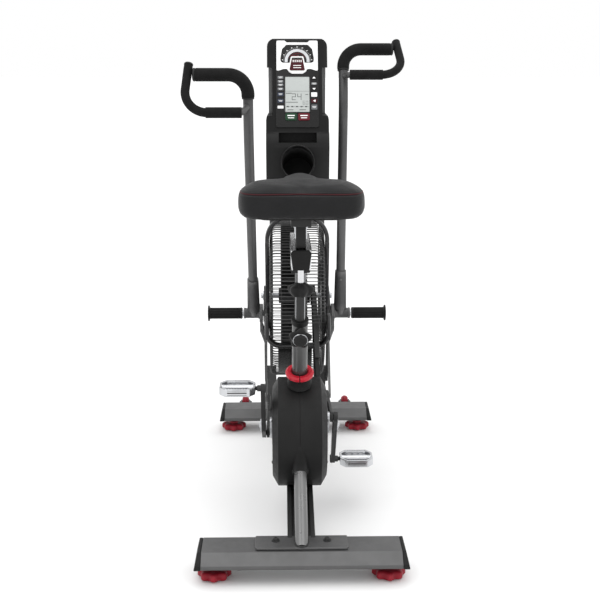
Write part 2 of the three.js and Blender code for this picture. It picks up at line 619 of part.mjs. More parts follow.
// ---------------------------------------------------------------- seat
function seat() {
  const post = rod(seatTubePoint(224), seatTubePoint(548), SEAT_TUBE.post, 20);
  const head = block(-22, 22, 205, 285, 782, RAIL.z0 - GAP);
  const headed = cut(join(post, head), block(-60, 60, 100, 400, RAIL.z0 - GAP, 900));
  add("seat_post", headed, polished);

  const section = [v2(-24, RAIL.z0), v2(24, RAIL.z0), v2(RAIL.half, RAIL.z1), v2(-RAIL.half, RAIL.z1)];
  const slot = block(-11, 11, RAIL.y0 + 8, RAIL.y1 - 8, RAIL.z1 - 22, RAIL.z1 + 5);
  add("slider_rail", cut(crossPlate(section, RAIL.y0, RAIL.y1), slot), polished);

  const carriage = join(
    block(-10.5, 10.5, 172, 290, RAIL.z1 - 20, RAIL.z1 + 20),
    block(-13, 13, 165, 295, RAIL.z1 + 1, 922),
    block(-26, 26, 120, 300, 920, SEAT.z0 - GAP),
  );
  add("seat_carriage", carriage, blackSteel);

  // The saddle's outline seen from above: broad at the back, with a round nose.
  const plan = new THREE.Shape();
  plan.moveTo(0, SEAT.y0);
  plan.lineTo(95, SEAT.y0);
  plan.bezierCurveTo(150, SEAT.y0, SEAT.half, 80, SEAT.half, 130);
  plan.bezierCurveTo(SEAT.half, 215, 78, 235, 62, 280);
  plan.bezierCurveTo(50, 325, 30, SEAT.y1, 0, SEAT.y1);
  const right = plan.getPoints(6);
  const left = right.slice(1, -1).map((p) => v2(-p.x, p.y)).reverse();
  const outline = [...right, ...left];
  const geometry = new THREE.ExtrudeGeometry(new THREE.Shape(outline), {
    depth: SEAT.z1 - SEAT.z0 - 16,
    bevelThickness: 8,
    bevelSize: 8,
    bevelOffset: -8,
    bevelSegments: 1,
  });
  add("seat_cushion", solid(geometry.translate(0, 0, SEAT.z0 + 8)), vinyl);

  const knobTop = 765;
  const slideKnob = join(
    rod(v3(0, 188, knobTop - 2), v3(0, 188, RAIL.z0 - GAP), 8, 14),
    rod(v3(0, 188, 728), v3(0, 188, 748), 24, 24, 33),
    rod(v3(0, 188, 748), v3(0, 188, knobTop), 33, 24, 22),
  );
  add("slide_knob", slideKnob, blackPlastic);

  const heightKnob = join(
    rod(seatTubePoint(HEIGHT_KNOB, SEAT_TUBE.radius + GAP + 0.7), seatTubePoint(HEIGHT_KNOB, 46), 8, 14),
    rod(seatTubePoint(HEIGHT_KNOB, 44), seatTubePoint(HEIGHT_KNOB, 62), 31, 10, 26),
    rod(seatTubePoint(HEIGHT_KNOB, 61), seatTubePoint(HEIGHT_KNOB, 67), 20, 20, 18),
  );
  add("height_knob", heightKnob, blackPlastic);
}

// ---------------------------------------------------------------- console
function consoleMast() {
  const rail = [v2(824.4, 806), v2(856, 806), v2(838, 1376), v2(812, 1376)];
  const rails = SIDES.map((s) => sidePlate(rail, s * 76, s * 88));
  const ties = [block(-80, 80, 828, 850, 852, 884), block(-80, 80, 818, 836, 1300, 1320)];
  add("console_mast", join(rails, ties), gunmetal);
}

function consoleHousing() {
  const face = (along, out = 0) => {
    const a = radians(CONSOLE.tilt);
    return v2(
      CONSOLE.y + along * Math.cos(a) - out * Math.sin(a),
      CONSOLE.z + along * Math.sin(a) + out * Math.cos(a),
    );
  };
  const display = [
    face(-12), v2(800, 1110), v2(842, 1190), v2(868, 1338), v2(850, 1384), v2(826, 1397), face(294),
  ];
  const cap = [face(204), v2(864, 1316), v2(869, 1340), v2(851, 1386), v2(826, 1400), face(297)];
  const cover = [
    v2(700, 930), v2(812, 930), v2(852, 960), v2(858, 1176), face(50), face(0), v2(671, 1117),
    v2(654, 1080), v2(668, 958),
  ];
  const inside = [
    v2(702, 900), v2(800, 900), v2(806, 960), v2(822, 1190), v2(848, 1336), v2(834, 1376),
    v2(822, 1382), face(278, -5), face(10, -6), v2(684, 1108), v2(664, 1076), v2(676, 960),
  ];
  // Seen from the rider, the cap and the cover have round shoulders.
  const shoulders = (half, bottom, top, radius) => {
    const arc = (centreX, from) =>
      Array.from({ length: 6 }, (_, i) => {
        const a = from + (i * Math.PI) / 10;
        return v2(centreX + radius * Math.cos(a), top - radius + radius * Math.sin(a));
      });
    const right = arc(half - radius, 0);
    const left = arc(radius - half, Math.PI / 2);
    return crossPlate([v2(-half, bottom), v2(half, bottom), ...right, ...left], 600, 900);
  };
  const outer = join(
    sidePlate(display, -75.6, 75.6).intersect(shoulders(75.6, 1000, 1399, 16)),
    sidePlate(cap, -92, 92).intersect(shoulders(92, 1200, 1400.2, 24)),
    sidePlate(cover, -95, 95).intersect(shoulders(95, 900, 1184, 26)),
  );
  const cupAxis = v3(0, -0.92, 0.392);
  const mouth = v3(0, CUP.y, CUP.z);
  const cupEnd = (distance) => mouth.clone().addScaledVector(cupAxis, distance);
  const { radius, wall, depth } = CUP;
  const cup = rod(cupEnd(-depth - wall), cupEnd(60), radius + wall, 28).intersect(sidePlate(cover, -95, 95));
  const tray = block(-61, 61, 640, 712, 1086, 1128).intersect(sidePlate(cover, -95, 95));
  const railAway = sidePlate([v2(823.8, 800), v2(856.8, 800), v2(838.6, 1377), v2(811.4, 1377)], -88.6, 88.6);
  const made = cut(
    join(cut(outer, sidePlate(inside, -67, 67)), cup, tray),
    rod(cupEnd(-depth), cupEnd(70), radius, 28),
    block(-57, 57, 630, 702, 1093, 1122),
    railAway,
  );
  add("console_shell", made, blackPlastic);

  // The instrument face, its window and its keys lie on a plane that leans back from the rider.
  const panel = new THREE.Group();
  panel.position.set(0, CONSOLE.y, CONSOLE.z);
  panel.rotation.x = radians(CONSOLE.tilt);
  bike.add(panel);
  const keySpan = [2, 37];
  const keys = SIDES.map((s) => ({ s, x0: s * keySpan[0], x1: s * keySpan[1] }));
  const plate = cut(
    block(-65, 65, 12, 294, GAP, 4),
    block(-37.5, 37.5, 60, 173, 1.8, 10),
    keys.map(({ s, x0, x1 }) => block(x0 - s * 0.5, x1 + s * 0.5, 33, 57, -2, 10)),
  );
  add("console_face", plate, whitePlastic, panel);
  add("display_lens", block(-37, 37, 60.5, 172.5, 2.1, 4.2), lcdGrey, panel);
  for (const { s, x0, x1 } of keys) {
    const key = block(x0, x1, 33.5, 56.5, 2, 5.5);
    add(s < 0 ? "start_key" : "stop_key", key, s < 0 ? keyGreen : keyRed, panel);
  }
}

rearStabiliser();
frontStabiliser();
levelers();
rearTube();
frameSpine();
hoopFrame();
frontLegs();
shrouds();
seatCollar();
beltDrive();
fan();
fanGuards();
crank();
arms();
seat();
consoleMast();
consoleHousing();

bike.position.set(0, -LENGTH / 2, 0);
export default bike;
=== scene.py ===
"""The looks of an air bike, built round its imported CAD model.
"""

import json
import math

import bmesh
import bpy
from mathutils import Matrix, Vector
from mathutils.bvhtree import BVHTree

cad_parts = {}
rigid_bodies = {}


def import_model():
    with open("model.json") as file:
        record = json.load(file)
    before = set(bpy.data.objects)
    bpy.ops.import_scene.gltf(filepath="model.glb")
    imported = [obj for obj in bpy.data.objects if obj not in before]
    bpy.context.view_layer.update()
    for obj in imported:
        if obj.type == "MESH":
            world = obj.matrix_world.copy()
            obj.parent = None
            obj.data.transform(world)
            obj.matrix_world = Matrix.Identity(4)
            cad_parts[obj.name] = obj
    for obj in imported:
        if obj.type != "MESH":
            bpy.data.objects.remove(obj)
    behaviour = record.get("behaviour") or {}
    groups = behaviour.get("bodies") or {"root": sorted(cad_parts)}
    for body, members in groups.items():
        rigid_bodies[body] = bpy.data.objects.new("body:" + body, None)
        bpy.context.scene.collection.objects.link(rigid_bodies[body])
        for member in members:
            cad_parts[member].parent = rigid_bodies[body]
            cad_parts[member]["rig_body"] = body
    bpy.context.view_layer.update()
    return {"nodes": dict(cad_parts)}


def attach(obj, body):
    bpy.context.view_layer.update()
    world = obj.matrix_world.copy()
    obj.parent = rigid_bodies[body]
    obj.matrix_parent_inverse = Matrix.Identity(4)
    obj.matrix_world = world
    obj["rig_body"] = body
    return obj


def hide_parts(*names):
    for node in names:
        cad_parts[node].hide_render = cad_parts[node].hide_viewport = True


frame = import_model()
NODES = frame["nodes"]

# ---------------------------------------------------------------- driving dimensions
MIDDLE = 669.5  # the row frame's y = 0
SIDES = {"left": -1, "right": 1}
PIVOT = (850, 525)
FAN = (958, 560)
CAGE = 270
CAGE_HALF = 89
CRANK = (420, 290)
CRANK_LENGTH = 170
CRANK_ANGLE = 123  # degrees from forward, for the left arm at rest
WHEEL = (1313, 60)  # the transport wheels' axle
COVER = (415, 274)  # the middle of the drive covers' round rear end
COVER_RADIUS = 158
COVER_NOSE = (600, 285)
NOSE_RADIUS = 62
SADDLE_MIDDLE = 168
ARM_REST = 11
SEAT_LEAN = 20.3
FACE = (690, 1125, 67.2)  # the console face's origin and its tilt
V = Vector


def row(point):
    """A point in millimetres of the CAD's layout as a point in the row frame."""
    return V((point[0] / 1000, (point[1] - MIDDLE) / 1000, point[2] / 1000))


def turned(y, z, degrees):
    a = math.radians(degrees)
    return y * math.cos(a) - z * math.sin(a), y * math.sin(a) + z * math.cos(a)


def on_face(x, along, out=0):
    """A point on the console's face: x across, along up its slope and out towards the rider."""
    y, z = turned(along, out, FACE[2])
    return V((x, FACE[0] + y, FACE[1] + z))


def on_arm(side, x, y, z):
    """A point given from the pivot with the arm at mid swing, where the arm stands at rest."""
    y, z = turned(y, z, -side * ARM_REST)
    return V((side * x, PIVOT[0] + y, PIVOT[1] + z))


def on_seat_tube(distance, rearward=0):
    y, z = turned(-rearward, distance, SEAT_LEAN)
    return V((0, CRANK[0] + y, CRANK[1] + z))


def level(x, y, z):
    """Places an outline that is drawn from above."""
    return V((x, y, z))


def across(x, z, y):
    """Places an outline that is drawn from behind."""
    return V((x, y, z))


SEAT_FOOT = on_seat_tube(0)
SEAT_UP = on_seat_tube(10) - SEAT_FOOT


# ---------------------------------------------------------------- materials
def grey(value):
    return (value, value, value)


def around(count):
    """The angles of that many equal steps round a circle."""
    return [2 * math.pi * i / count for i in range(count)]


class Look:
    """A node material round one Principled shader, with object coordinates in metres."""

    def __init__(self, name, roughness, metallic=0.0, **sockets):
        self.material = bpy.data.materials.new(name)
        self.material.use_nodes = True
        self.tree = self.material.node_tree
        self.shader = self.tree.nodes["Principled BSDF"]
        self.coords = self.tree.nodes.new("ShaderNodeTexCoord").outputs["Object"]
        self.set(self.shader, Roughness=roughness, Metallic=metallic, **sockets)

    def set(self, node, **values):
        for key, value in values.items():
            node.inputs[key.replace("_", " ")].default_value = value
        return node

    def link(self, output, target):
        self.tree.links.new(output, target)
        return output

    def stretch(self, x, y, z):
        node = self.tree.nodes.new("ShaderNodeMapping")
        node.inputs["Scale"].default_value = (x, y, z)
        self.link(self.coords, node.inputs["Vector"])
        return node.outputs["Vector"]

    def noise(self, scale, detail=3.0, coords=None):
        node = self.set(self.tree.nodes.new("ShaderNodeTexNoise"), Scale=scale, Detail=detail, Roughness=0.55)
        self.link(coords or self.coords, node.inputs["Vector"])
        return node.outputs["Fac"]

    def cells(self, scale, feature="F1", coords=None):
        node = self.set(self.tree.nodes.new("ShaderNodeTexVoronoi"), Scale=scale)
        node.feature = feature
        self.link(coords or self.coords, node.inputs["Vector"])
        return node.outputs["Distance"]

    def ramp(self, value, *stops):
        node = self.tree.nodes.new("ShaderNodeValToRGB")
        points = node.color_ramp.elements
        while len(points) < len(stops):
            points.new(0.5)
        for point, (place, colour) in zip(points, stops):
            point.position = place
            point.color = (*colour, 1) if isinstance(colour, tuple) else (colour, colour, colour, 1)
        self.link(value, node.inputs["Fac"])
        return node.outputs["Color"]

    def blend(self, share, first, second):
        node = self.tree.nodes.new("ShaderNodeMix")
        node.data_type = "RGBA"
        for value, target in ((share, node.inputs[0]), (first, node.inputs[6]), (second, node.inputs[7])):
            if isinstance(value, bpy.types.NodeSocket):
                self.link(value, target)
            else:
                target.default_value = (*value, 1) if isinstance(value, tuple) else value
        return node.outputs[2]

    def colour(self, output):
        self.link(output, self.shader.inputs["Base Color"])
        return self

    def rough(self, value, low, high, span=(0.3, 0.7)):
        self.link(self.ramp(value, (span[0], low), (span[1], high)), self.shader.inputs["Roughness"])
        return self

    def bump(self, *layers):
        """Layers are (height, strength, depth in metres), the finest last."""
        normal = None
        for height, strength, depth in layers:
            node = self.set(self.tree.nodes.new("ShaderNodeBump"), Strength=strength, Distance=depth)
            self.link(height, node.inputs["Height"])
            if normal:
                self.link(normal, node.inputs["Normal"])
            normal = node.outputs["Normal"]
        self.link(normal, self.shader.inputs["Normal"])
        return self

    def edges(self, low=0.5, high=0.56):
        """1 along the convex edges, 0 on flat ground."""
        pointed = self.tree.nodes.new("ShaderNodeNewGeometry").outputs["Pointiness"]
        return self.ramp(pointed, (low, 0.0), (high, 1.0))


def paint(name, dark, light, fleck_and_highlight, roughness=0.36, metallic=0.75):
    """Metallic paint with a fine flake, an orange-peel surface and convex edges lightened as a painted
    highlight.
    """
    look = Look(name, roughness, metallic, Coat_Weight=0.08, Coat_Roughness=0.22, Specular_IOR_Level=0.2)
    flake = look.noise(2600, 2)
    cloud = look.noise(9, 3)
    base = look.blend(look.ramp(cloud, (0.35, 0.0), (0.65, 1.0)), dark, light)
    fleck = look.blend(look.ramp(flake, (0.45, 0.0), (0.75, 0.45)), base, fleck_and_highlight)
    # Painted highlight: convex edges are blended towards the lighter fleck colour, standing in for the light
    # they catch.
    edge_highlight = look.blend(look.edges(0.515, 0.6), fleck, fleck_and_highlight)
    look.colour(edge_highlight).rough(look.noise(45, 4), roughness - 0.05, roughness + 0.09)
    return look.bump((look.noise(420, 2), 0.25, 0.0003), (flake, 0.16, 0.0001))


def moulded(name, dark, light, roughness=0.5, grain=1500, depth=0.00022, **sockets):
    """Moulded plastic with a spark-eroded grain."""
    sockets.setdefault("Specular_IOR_Level", 0.14)
    look = Look(name, roughness, 0.0, **sockets)
    fine = look.cells(grain, "SMOOTH_F1")
    cloud = look.noise(14, 4)
    base = look.blend(look.ramp(cloud, (0.3, 0.0), (0.7, 1.0)), dark, light)
    # Painted highlight: convex edges are blended towards a lighter tone, standing in for the light they
    # catch.
    edge = tuple(min(1.0, 1.6 * c + 0.015) for c in light)
    look.colour(look.blend(look.edges(0.52, 0.62), base, edge))
    look.rough(look.noise(60, 4), roughness - 0.06, roughness + 0.08)
    return look.bump((look.noise(300, 3), 0.1, 0.0004), (fine, 0.3, depth))


def foamed(name, dark, light):
    """Closed-cell foam: small open pores and a soft sheen."""
    look = Look(name, 0.82, 0.0, Sheen_Weight=0.03, Sheen_Roughness=0.5, Specular_IOR_Level=0.1)
    pores = look.cells(900)
    base = look.blend(look.ramp(look.noise(30, 4), (0.3, 0.0), (0.7, 1.0)), dark, light)
    look.colour(look.blend(look.ramp(pores, (0.0, 0.6), (0.3, 0.0)), base, tuple(c * 0.5 for c in dark)))
    look.rough(look.noise(200, 3), 0.74, 0.9)
    return look.bump((look.noise(260, 3), 0.25, 0.0006), (pores, 0.4, 0.0005))


def bright(name, colour, roughness, lines=(1, 1, 1), metallic=1.0):
    """Bare metal with fine drawn lines and a few rubs."""
    look = Look(name, roughness, metallic)
    drawn = look.noise(700, 4, look.stretch(*lines))
    smear = look.noise(24, 4)
    shade = tuple(c * 0.72 for c in colour)
    look.colour(look.blend(look.ramp(smear, (0.3, 0.0), (0.75, 1.0)), colour, shade))
    look.rough(drawn, roughness * 0.7, roughness * 1.5, (0.25, 0.75))
    return look.bump((drawn, 0.12, 0.0002))


def hide(name, dark, light):
    """Pebbled vinyl: small polygonal plates with creases between them."""
    look = Look(name, 0.5, 0.0, Sheen_Weight=0.03, Sheen_Roughness=0.4, Specular_IOR_Level=0.18)
    warped = look.tree.nodes.new("ShaderNodeVectorMath")
    warped.operation = "MULTIPLY_ADD"
    wobble = look.set(look.tree.nodes.new("ShaderNodeTexNoise"), Scale=180.0, Detail=2.0)
    look.link(look.coords, wobble.inputs["Vector"])
    look.link(wobble.outputs["Color"], warped.inputs[0])
    warped.inputs[1].default_value = (0.0012, 0.0012, 0.0012)
    look.link(look.coords, warped.inputs[2])
    crease = look.cells(620, "DISTANCE_TO_EDGE", warped.outputs[0])
    plates = look.ramp(crease, (0.0, 0.0), (0.16, 1.0))
    cloud = look.noise(16, 5)
    base = look.blend(look.ramp(cloud, (0.3, 0.0), (0.7, 1.0)), dark, light)
    look.colour(look.blend(plates, tuple(c * 0.55 for c in dark), base))
    look.rough(cloud, 0.44, 0.58)
    return look.bump((look.noise(55, 4), 0.2, 0.0016), (plates, 0.4, 0.0003))


LOOKS = {
    "gunmetal": (paint("gunmetal_paint", (0.054, 0.054, 0.055), (0.076, 0.076, 0.077), grey(0.17),
                       0.42, 0.45), "gunmetal_paint"),
    # A lighter copy of the gunmetal paint: its paler colour is a painted highlight for the light on the rear
    # tube.
    "highlit_gunmetal": (
        paint("highlit_gunmetal", (0.08, 0.08, 0.081), (0.11, 0.11, 0.111), grey(0.2), 0.3, 0.6),
        "gunmetal_paint",
    ),
    "dark_tube": (
        paint("gunmetal_tube", (0.02, 0.02, 0.021), (0.034, 0.034, 0.035), grey(0.1), 0.3, 0.8),
        "gunmetal_paint",
    ),
    "black_steel": (
        paint("black_paint", grey(0.006), grey(0.01), grey(0.05), 0.45, 0.2),
        "black_paint",
    ),
    "plastic": (moulded("black_plastic", grey(0.006), grey(0.01), 0.5), "black_plastic"),
    "gloss": (
        moulded("gloss_plastic", grey(0.004), grey(0.007), 0.24, 900, 0.00008,
                Coat_Weight=0.2),
        "black_plastic",
    ),
    "rubber": (moulded("rubber_black", grey(0.006), grey(0.011), 0.74, 800, 0.0004),
               "rubber_black"),
    "foam": (foamed("grip_foam", grey(0.007), grey(0.012)), "grip_foam"),
    "red": (
        moulded("red_plastic", (0.36, 0.008, 0.02), (0.5, 0.014, 0.03), 0.34, 700, 0.0001, Coat_Weight=0.3),
        "red_plastic",
    ),
    "crimson": (
        moulded("crimson_plastic", (0.17, 0.006, 0.014), (0.24, 0.01, 0.02), 0.4, 700, 0.0002,
                Coat_Weight=0.1),
        "red_plastic",
    ),
    "aluminium": (bright("polished_aluminium", (0.62, 0.63, 0.65), 0.2, (1, 6, 6)), "polished_aluminium"),
    "chrome": (bright("chrome", (0.9, 0.905, 0.92), 0.08, (4, 1, 1)), "chrome"),
    "rail_chrome": (bright("rail_chrome", (0.78, 0.785, 0.8), 0.2, (1, 4, 1), 0.95), "chrome"),
    "steel": (bright("bolt_steel", (0.6, 0.61, 0.63), 0.3, (2, 2, 2)), "polished_aluminium"),
    "wire": (
        paint("fan_steel", grey(0.008), grey(0.014), grey(0.08), 0.4, 0.4),
        "fan_steel",
    ),
    "vinyl": (hide("seat_vinyl", (0.008, 0.008, 0.0085), (0.014, 0.014, 0.015)), "seat_vinyl"),
    "piping": (moulded("piping_red", (0.03, 0.004, 0.006), (0.048, 0.005, 0.008), 0.55, 900, 0.0002),
               "red_plastic"),
    "thread": (moulded("thread_grey", (0.018, 0.018, 0.019), (0.03, 0.03, 0.031), 0.7, 2600, 0.0003),
               "seat_vinyl"),
    "white": (
        moulded("face_white", grey(0.78), grey(0.84), 0.32, 900, 0.00006, Coat_Weight=0.3),
        "face_white",
    ),
    "lcd": (moulded("display_grey", (0.33, 0.35, 0.34), (0.41, 0.43, 0.42), 0.25, 400, 0.00005),
            "display_grey"),
    "ink": (moulded("display_ink", (0.02, 0.022, 0.022), (0.035, 0.037, 0.036), 0.4, 900, 0.00005),
            "display_grey"),
    "green": (moulded("key_green", (0.012, 0.04, 0.02), (0.018, 0.055, 0.028), 0.45, 1200, 0.0001),
              "key_green"),
    "key_red": (moulded("key_red", (0.09, 0.008, 0.014), (0.125, 0.011, 0.018), 0.45, 1200, 0.0001),
                "key_red"),
    "key_blue": (moulded("key_blue", (0.022, 0.028, 0.045), (0.034, 0.042, 0.065), 0.45, 1200, 0.0001),
                 "black_plastic"),
    "key_grey": (moulded("key_grey", (0.08, 0.084, 0.09), (0.12, 0.125, 0.13), 0.45, 1200, 0.0001),
                 "black_plastic"),
}


# ---------------------------------------------------------------- mesh tools
class Shape:
    """Closed forms gathered into one mesh, in millimetres of the CAD's layout."""

    def __init__(self):
        self.bm = bmesh.new()

    def loft(self, rings, ends=True):
        """A skin over rings of the same number of points, capped at both ends unless it closes on itself."""
        made = [[self.bm.verts.new(p) for p in ring] for ring in rings]
        if not ends:
            made.append(made[0])
        for low, high in zip(made, made[1:]):
            for i, corner in enumerate(low):
                j = (i + 1) % len(low)
                self.bm.faces.new((corner, low[j], high[j], high[i]))
        if ends:
            self.bm.faces.new(reversed(made[0]))
            self.bm.faces.new(made[-1])
        return self

    def prism(self, outline, place, low, high):
        """The outline's (u, v) points, set by place(u, v, w) from w = low to w = high."""
        return self.loft([[place(u, v, w) for u, v in outline] for w in (low, high)])

    def side_plate(self, outline, x0, x1):
        return self.prism(outline, lambda y, z, x: V((x, y, z)), x0, x1)

    def block(self, x0, x1, y0, y1, z0, z1):
        return self.side_plate([(y0, z0), (y1, z0), (y1, z1), (y0, z1)], x0, x1)

    def on_face(self, outline, low, high):
        return self.prism(outline, on_face, low, high)

    def lathe(self, profile, origin, axis, segments=48, radial=None):
        """A turned form from (distance along the axis, radius) points, with radial(angle) as a factor."""
        axis = V(axis).normalized()
        side = axis.orthogonal().normalized()
        up = axis.cross(side)
        rings = []
        for distance, radius in profile:
            ring = []
            for a in around(segments):
                r = max(radius, 0.02) * (radial(a) if radial else 1)
                ring.append(V(origin) + axis * distance + (side * math.cos(a) + up * math.sin(a)) * r)
            rings.append(ring)
        return self.loft(rings)

    def rod(self, start, end, radius):
        start, end = V(start), V(end)
        return self.lathe([(0, radius), ((end - start).length, radius)], start, end - start, 20)

    def sweep(self, points, radius, sides=24, section=None, closed=False):
        """A bar along the points, with one radius or one for each; section(angle) gives (u, v) factors."""
        points = [V(p) for p in points]
        count = len(points)
        radii = radius if isinstance(radius, list) else [radius] * count
        tangents = []
        for i in range(count):
            before = points[i - 1] if closed or i else points[0]
            after = points[(i + 1) % count] if closed or i < count - 1 else points[-1]
            tangents.append((after - before).normalized())
        side = tangents[0].orthogonal().normalized()
        if section:
            side = (V((1, 0, 0)) - tangents[0] * tangents[0].x).normalized()
        rings = []
        for i, (point, tangent) in enumerate(zip(points, tangents)):
            if i:
                side = tangents[i - 1].rotation_difference(tangent) @ side
            side = (side - tangent * side.dot(tangent)).normalized()
            up = tangent.cross(side)
            ring = []
            for a in around(sides):
                u, v = section(a) if section else (math.cos(a), math.sin(a))
                ring.append(point + (side * u + up * v) * radii[i])
            rings.append(ring)
        return self.loft(rings, ends=not closed)

    def finish(self, name, look, body, bevel=0.0, segments=2, stands_for=(), crease=40, angle=38):
        """The piece, in metres in the row frame, shaded and riding on its body."""
        bm = self.bm
        bmesh.ops.remove_doubles(bm, verts=bm.verts, dist=1e-3)
        bmesh.ops.recalc_face_normals(bm, faces=bm.faces)
        if bevel:
            limit = math.radians(angle)
            sharp = [e for e in bm.edges if len(e.link_faces) == 2 and e.calc_face_angle(0) > limit]
            bmesh.ops.bevel(
                bm, geom=sharp, offset=bevel, segments=segments, profile=0.5, affect="EDGES",
                clamp_overlap=True
            )
        bmesh.ops.scale(bm, vec=V((1, 1, 1)) / 1000, verts=bm.verts)
        bmesh.ops.translate(bm, vec=V((0, -MIDDLE / 1000, 0)), verts=bm.verts)
        mesh = bpy.data.meshes.new(name)
        bm.to_mesh(mesh)
        bm.free()
        mesh.shade_smooth()
        mesh.set_sharp_from_angle(angle=math.radians(crease))
        made = bpy.data.objects.new(name, mesh)
        bpy.context.scene.collection.objects.link(made)
        if bevel:
            made.modifiers.new("weighted", "WEIGHTED_NORMAL").keep_sharp = True
        surface, slot = LOOKS[look]
        mesh.materials.clear()
        mesh.materials.append(surface.material)
        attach(made, body)
        if stands_for:
            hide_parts(*stands_for)
        return made


def refined(node, look, bevel=1.2, segments=2, name=None, angle=38, crease=40):
    """The CAD solid with its flats joined into whole faces and its edges rounded."""
    shape = Shape()
    bm = shape.bm
    bm.from_mesh(NODES[node].data)
    bmesh.ops.remove_doubles(bm, verts=bm.verts, dist=2e-6)
    bmesh.ops.dissolve_limit(bm, angle_limit=math.radians(0.6), verts=bm.verts, edges=bm.edges)
    bmesh.ops.scale(bm, vec=V((1000, 1000, 1000)), verts=bm.verts)
    bmesh.ops.translate(bm, vec=V((0, MIDDLE, 0)), verts=bm.verts)
    body = NODES[node]["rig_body"]
    return shape.finish(name or node + "_skin", look, body, bevel, segments, (node,), crease, angle=angle)


def arc_points(radius, count, y, z, start, turn):
    angles = [start + turn * i / (count - 1) for i in range(count)]
    return [(y + radius * math.cos(a), z + radius * math.sin(a)) for a in angles]


def capsule(y1, z1, r1, y2, z2, r2, steps=16):
    """The outline round two circles."""
    along = math.atan2(z2 - z1, y2 - y1)
    wrap = math.acos((r1 - r2) / math.hypot(y2 - y1, z2 - z1))
    first = arc_points(r1, steps, y1, z1, along + wrap, 2 * (math.pi - wrap))
    return first + arc_points(r2, steps, y2, z2, along - wrap, 2 * wrap)


def rounded(points, radius, steps=5):
    """An outline with its corners rounded; radius is one number or one for each corner."""
    out = []
    count = len(points)
    for i, p in enumerate(points):
        p, before, after = V(p), V(points[i - 1]), V(points[(i + 1) % count])
        r = radius[i] if isinstance(radius, (list, tuple)) else radius
        a, b = (before - p).normalized(), (after - p).normalized()
        half = a.angle(b) / 2
        reach = min(r / math.tan(half), 0.49 * (before - p).length, 0.49 * (after - p).length)
        start, end = p + a * reach, p + b * reach
        for k in range(steps + 1):
            t = k / steps
            out.append(tuple(start * (1 - t) ** 2 + p * 2 * t * (1 - t) + end * t**2))
    return out


def rectangle(x0, x1, y0, y1, radius, steps=5):
    return rounded([(x0, y0), (x1, y0), (x1, y1), (x0, y1)], radius, steps)


def bent(corners, radii, steps=10, straight=1):
    """Points along a path of straight runs joined by round bends."""
    corners = [V(c) for c in corners]
    out = [corners[0]]
    for i in range(1, len(corners) - 1):
        p = corners[i]
        before, after = (p - corners[i - 1]).normalized(), (corners[i + 1] - p).normalized()
        turn = before.angle(after)
        start = p - before * radii[i - 1] * math.tan(turn / 2)
        axis = before.cross(after).normalized()
        centre = start + axis.cross(before) * radii[i - 1]
        for k in range(steps + 1):
            out.append(centre + Matrix.Rotation(turn * k / steps, 3, axis) @ (start - centre))
    out.append(corners[-1])
    if straight > 1:
        dense = [out[0]]
        for a, b in zip(out, out[1:]):
            pieces = max(1, round((b - a).length / straight))
            dense += [a.lerp(b, (k + 1) / pieces) for k in range(pieces)]
        out = dense
    return out


# ---------------------------------------------------------------- stabilisers, feet and wheels
def stabilisers():
    for end, y0, depth in (("rear", 0, 120), ("front", 1140, 110)):
        outline = [(0, 49), (4, 45), (depth, 45), (depth, 79), (depth - 7, 85), (30, 83), (0, 58)]
        outline = [(y0 + y, z) for y, z in outline]
        bar = Shape().side_plate(outline, -262, 262)
        if end == "front":
            for side in SIDES.values():
                x = side * 190
                cheek = capsule(1244, WHEEL[1], 13, *WHEEL, 12)
                for inner in (-17.8, 13.8):
                    bar.side_plate(cheek, x + inner, x + inner + 4)
                bar.rod((x - 19, *WHEEL), (x + 19, *WHEEL), 4.6)
                for way in (1, -1):
                    bar.lathe([(0, 8), (4, 8), (5.5, 6.5)], (x + way * 17.8, *WHEEL), (way, 0, 0), 6)
        bar.finish(end + "_stabiliser_bar", "gunmetal", "frame", 1.3, 3, (end + "_stabiliser",))
        for name, side in SIDES.items():
            refined(f"{end}_cap_{name}", "plastic", 2.2, 3)


def levelers():
    """Lobed foot wheels on threaded stems, with a rubber pad under each."""
    lobes = lambda a: 1 + 0.085 * math.cos(8 * a)
    for end, y in (("rear", 60), ("front", 1195)):
        for name, side in SIDES.items():
            centre = (side * 230, y, 0)
            profile = [(1.5, 20), (1.5, 33), (3, 38), (6, 41), (16, 41), (20, 39.5), (23, 36), (24, 30),
                       (24, 17)]
            wheel = Shape().lathe(profile, centre, (0, 0, 1), 128, lobes)
            wheel.lathe([(24, 16), (29, 15), (30, 13), (30, 5)], centre, (0, 0, 1), 40)
            body = f"foot_{end}_{name}"
            wheel.finish(f"leveler_wheel_{end}_{name}", "crimson", body, 0, 2, (f"leveler_{end}_{name}",), 50)
            Shape().lathe([(0, 12), (0, 29), (1.7, 30.5), (3, 30)], centre, (0, 0, 1), 64).finish(
                f"leveler_pad_{end}_{name}", "rubber", body
            )
            thread = [(28 + 0.8 * i, 8.8 if i % 2 else 7.9) for i in range(22)]
            Shape().lathe(thread, centre, (0, 0, 1), 32).finish(f"leveler_stem_{end}_{name}", "steel", body)


def wheels():
    for name, side in SIDES.items():
        centre = (side * 190, *WHEEL)
        half = [(0, 26), (3, 25.6), (3.8, 24.5), (4.8, 24.9), (8, 23.5), (11, 20.5), (12.6, 18), (11.4, 16.5),
                (11.4, 14.5), (13, 13.5), (13, 5.4)]
        tyre = [(-x, r) for x, r in reversed(half[1:])] + half
        Shape().lathe(tyre, centre, (1, 0, 0), 72).finish(
            f"transport_tyre_{name}", "crimson", "wheel_" + name, 0, 2, (f"transport_wheel_{name}",)
        )


